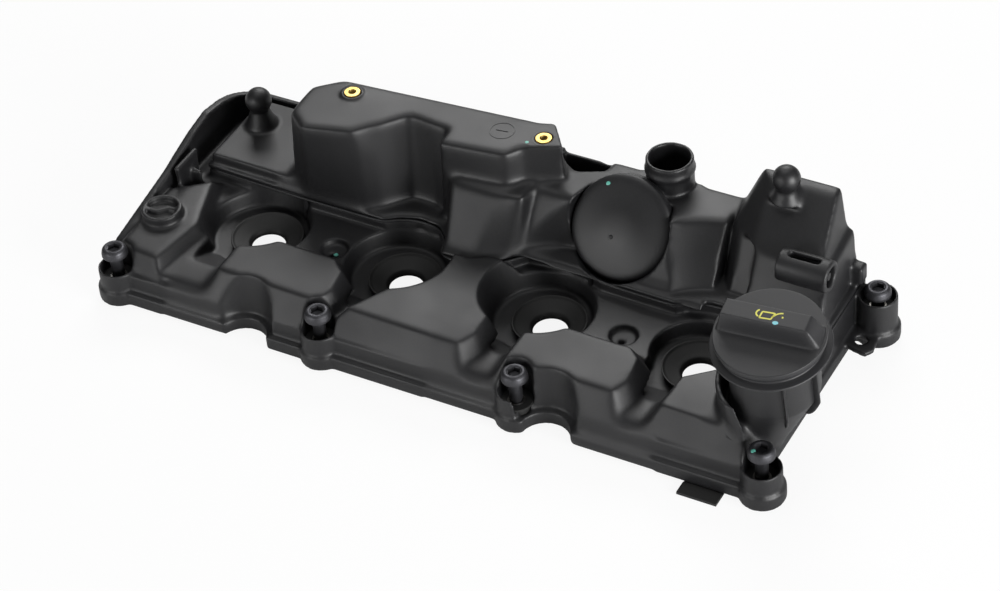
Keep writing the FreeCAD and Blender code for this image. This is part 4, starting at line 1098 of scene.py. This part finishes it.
@dataclass
class Seals:
    """The four injector seals and the perimeter gasket."""

    seat_height: float = 14.0

    def profile(self) -> np.ndarray:
        """An injector seal's closed profile: a spigot, a cone and a thickened rim."""
        ring = [
            (9.4, -3.2), (12.35, -3.2), (12.35, 0), (17.0, 0), (20.4, 3.6), (20.4, 4.6),
            (19.5, 4.6), (18.6, 3.6), (13.2, 1.3), (10.6, 0.4), (9.4, -1.6),
        ]
        path = rounded(np.array(ring, float), 0.7, 4, closed=True)
        return np.vstack([path, path[:1]])

    def build(self, frame: dict) -> None:
        """Makes the injector seals and dresses the gasket."""
        for index, x in enumerate(WELLS):
            axis = Axis((x, 0.0, self.seat_height))
            seal = turned("injector_seal_ring_%d" % (index + 1), self.profile(), axis, 96)
            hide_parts("injector_seal_%d" % (index + 1))
            dress(seal, RUBBER)
        paint_node(frame, "perimeter_gasket", RUBBER)


@dataclass
class Inserts:
    """The two brass inserts, with their threads."""

    places: tuple[tuple[float, float], ...] = ((-103.6, 58.2), (11.4, 64.3))
    radius: float = 4.6
    bore: float = 2.1
    length: float = 10.0
    pitch: float = 0.8
    thread_depth: float = 0.18
    chamfer: float = 0.3

    def profile(self) -> np.ndarray:
        """The insert's closed profile, its bore rippled by the thread."""
        depth = np.linspace(0, -self.length, 140)
        wave = np.cos(2 * np.pi * depth / self.pitch)
        thread = np.column_stack([self.bore + self.thread_depth * wave, depth])
        r, c = self.radius, self.chamfer
        outside = [(r, -self.length), (r, -c), (r - c, 0), (self.bore + 0.4, 0)]
        ring = np.vstack([thread, np.array(outside)])
        return np.vstack([ring, ring[:1]])

    def build(self, frame: dict) -> None:
        """Makes both inserts in place of their nodes."""
        for side, place in zip(("left", "right"), self.places):
            top = (*place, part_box("insert_" + side)[1].z / MM)
            insert = turned("thread_insert_" + side, self.profile(), Axis(top), 64)
            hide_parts("insert_" + side)
            dress(insert, BRASS)


@dataclass
class PaintDabs:
    """The small green dabs that the assembly line leaves on a bolt, the lid, the roof and a dish."""

    radius: float = 1.25
    film: float = 0.14
    depth: float = 0.6
    flat_dabs: tuple[tuple[str, tuple[float, float, float]], ...] = (
        ("separator", (4.6, 58.0, 83.95)),
        ("moulding", (-86.2, -2.1, 21.6)),
    )
    bolt_place: tuple[float, float, float] = (190.6, -61.3, 34.25)
    lid_place: tuple[float, float, float] = (-12.0, 21.2, 0.55)

    def lens(self, name: str, place: tuple[float, float, float], lean: float, slot: str) -> None:
        """Sets one dab, a lens h(r) = f (1 - r^2 / R^2) over its rim.

        Args:
            name: the object's name.
            place: its middle, in millimetres.
            lean: the surface's lean about X, in degrees.
            slot: not used.
        """
        part = np.linspace(0, 1, 7)
        crown = np.column_stack([self.radius * part, self.film * (1 - part**2)])
        profile = np.vstack([crown, [(self.radius, -self.depth), (0, -self.depth)]])
        dress(turned(name, profile, Axis(place, lean=lean), 32), MARK_GREEN)

    def build(self, frame: dict) -> None:
        """Sets all the dabs."""
        for index, (slot, place) in enumerate(self.flat_dabs):
            self.lens("roof_paint_dab_%d" % (index + 1), place, 0.0, slot)
        self.lens("bolt_paint_dab", self.bolt_place, 0.0, "bolt_steel")
        lid = tuple(VALVE.carry(np.array([self.lid_place]))[0])
        self.lens("lid_paint_dab", lid, VALVE.lean, "separator")


@dataclass
class Inside:
    """The separator's inner plates and the drain valve."""

    def build(self, frame: dict) -> None:
        """Dresses the pieces that the two mouldings hide."""
        paint_node(frame, "baffle_plate", INNER_NYLON)
        paint_node(frame, "impactor_plate", INNER_NYLON)
        paint_node(frame, "drain_valve", MEMBRANE)


@dataclass(frozen=True)
class SoftBox:
    """A rectangular lamp: its place and aim in metres, its width and height, and its watts."""

    name: str
    place: tuple[float, float, float]
    aim: tuple[float, float, float]
    size: tuple[float, float]
    power: float

    def hang(self) -> None:
        """Adds the lamp to the scene."""
        data = bpy.data.lights.new(self.name, "AREA")
        data.shape = "RECTANGLE"
        data.size, data.size_y = self.size
        data.energy = self.power
        lamp = bpy.data.objects.new(self.name, data)
        lamp.location = self.place
        lamp.rotation_mode = "QUATERNION"
        lamp.rotation_quaternion = (Vector(self.aim) - Vector(self.place)).to_track_quat("-Z", "Y")
        bpy.context.scene.collection.objects.link(lamp)


@dataclass
class Studio:
    """A pale floor, a white backdrop for the camera, soft lights and the photograph's viewpoint."""

    place: tuple[float, float, float] = (657.62, -1034.46, 1078.40)
    azimuth: float = 31.861
    elevation: float = 40.842
    roll: float = -5.458
    lens: float = 109.107
    sensor: float = 36.0
    floor_reach: float = 4000.0
    floor_height: float = -0.6
    floor_glow: float = 0.9
    room_light: float = 0.12
    lamps: tuple[SoftBox, ...] = (
        SoftBox("overhead", (-0.2, 0.2, 1.5), (0.0, 0.0, 0.0), (1.2, 0.8), 5.0),
        SoftBox("behind", (-0.45, 1.2, 1.05), (0.0, 0.0, 0.05), (1.1, 0.6), 15.0),
        SoftBox("right_side", (1.5, -0.45, 0.4), (0.1, 0.0, 0.03), (0.8, 0.7), 32.0),
        SoftBox("front_left", (-0.7, -1.6, 0.45), (0.0, 0.0, 0.0), (1.2, 0.4), 11.0),
    )

    def camera(self) -> None:
        """Stands the camera where the photograph was taken from."""
        data = bpy.data.cameras.new("viewpoint")
        data.sensor_fit = "HORIZONTAL"
        data.sensor_width = self.sensor
        data.lens = self.lens
        data.clip_start, data.clip_end = 0.05, 30.0
        a, e, c = (math.radians(v) for v in (self.azimuth, self.elevation, self.roll))
        right = Vector((math.cos(a), math.sin(a), 0))
        back = Vector((math.sin(a) * math.cos(e), -math.cos(a) * math.cos(e), math.sin(e)))
        up = back.cross(right)
        across = math.cos(c) * right + math.sin(c) * up
        upward = -math.sin(c) * right + math.cos(c) * up
        camera = bpy.data.objects.new("viewpoint", data)
        turn = Matrix((across, upward, back)).transposed().to_4x4()
        camera.matrix_world = Matrix.Translation(Vector(self.place) * MM) @ turn
        bpy.context.scene.collection.objects.link(camera)
        bpy.context.scene.camera = camera

    def floor(self) -> None:
        """Lays a pale floor that takes the object's shadow and is clear from underneath."""
        edge = np.linspace(-self.floor_reach, self.floor_reach, 9)
        x, y = np.meshgrid(edge, edge, indexing="ij")
        points = np.stack([x, y, 0 * x + self.floor_height], -1).reshape(-1, 3)
        plane = weld(points, grid_faces(9, 9), "floor")
        material, tree, output = new_material("paper_white_matt")
        paper = add_node(tree, "ShaderNodeBsdfDiffuse", {"Color": linear("#f4f4f4")})
        glow = add_node(tree, "ShaderNodeEmission", {"Color": linear("#ffffff"), "Strength": 1.0})
        rays = add_node(tree, "ShaderNodeLightPath")
        values = {0: rays.outputs["Is Camera Ray"], 1: self.floor_glow}
        share = add_node(tree, "ShaderNodeMath", values, operation="MULTIPLY")
        values = {0: share.outputs[0], 1: paper.outputs[0], 2: glow.outputs[0]}
        mixed = add_node(tree, "ShaderNodeMixShader", values)
        if plane.data.polygons[0].normal.z < 0:
            plane.data.flip_normals()
        side = add_node(tree, "ShaderNodeNewGeometry")
        clear = add_node(tree, "ShaderNodeBsdfTransparent")
        values = {0: side.outputs["Backfacing"], 1: mixed.outputs[0], 2: clear.outputs[0]}
        seen = add_node(tree, "ShaderNodeMixShader", values)
        tree.links.new(seen.outputs[0], output.inputs[0])
        plane.data.materials.append(material)

    def world(self) -> None:
        """White behind the object, and a dim even room around it."""
        world = bpy.data.worlds.new("studio")
        bpy.context.scene.world = world
        world.use_nodes = True
        tree = world.node_tree
        tree.nodes.clear()
        rays = add_node(tree, "ShaderNodeLightPath")
        values = {0: rays.outputs["Is Camera Ray"], 1: 0.0, 2: 1.0, 3: self.room_light, 4: 1.0}
        strength = add_node(tree, "ShaderNodeMapRange", values)
        values = {"Color": linear("#ffffff"), "Strength": strength.outputs[0]}
        ground = add_node(tree, "ShaderNodeBackground", values)
        output = add_node(tree, "ShaderNodeOutputWorld")
        tree.links.new(ground.outputs[0], output.inputs[0])

    def build(self) -> None:
        """Sets the whole studio up."""
        self.camera()
        self.floor()
        self.world()
        for lamp in self.lamps:
            lamp.hang()


def main(frame: dict) -> None:
    """Builds every sub-assembly in order."""
    logging.basicConfig(level=logging.INFO, format="%(message)s")
    bpy.context.scene.view_settings.view_transform = "Standard"
    parts = (Housing, SeparatorShell, PressureValve, FillerCap, Fasteners, Seals, Inserts, PaintDabs, Inside)
    for part in parts:
        part().build(frame)
    Studio().build()


if __name__ == "__main__":
    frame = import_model()
    main(frame)
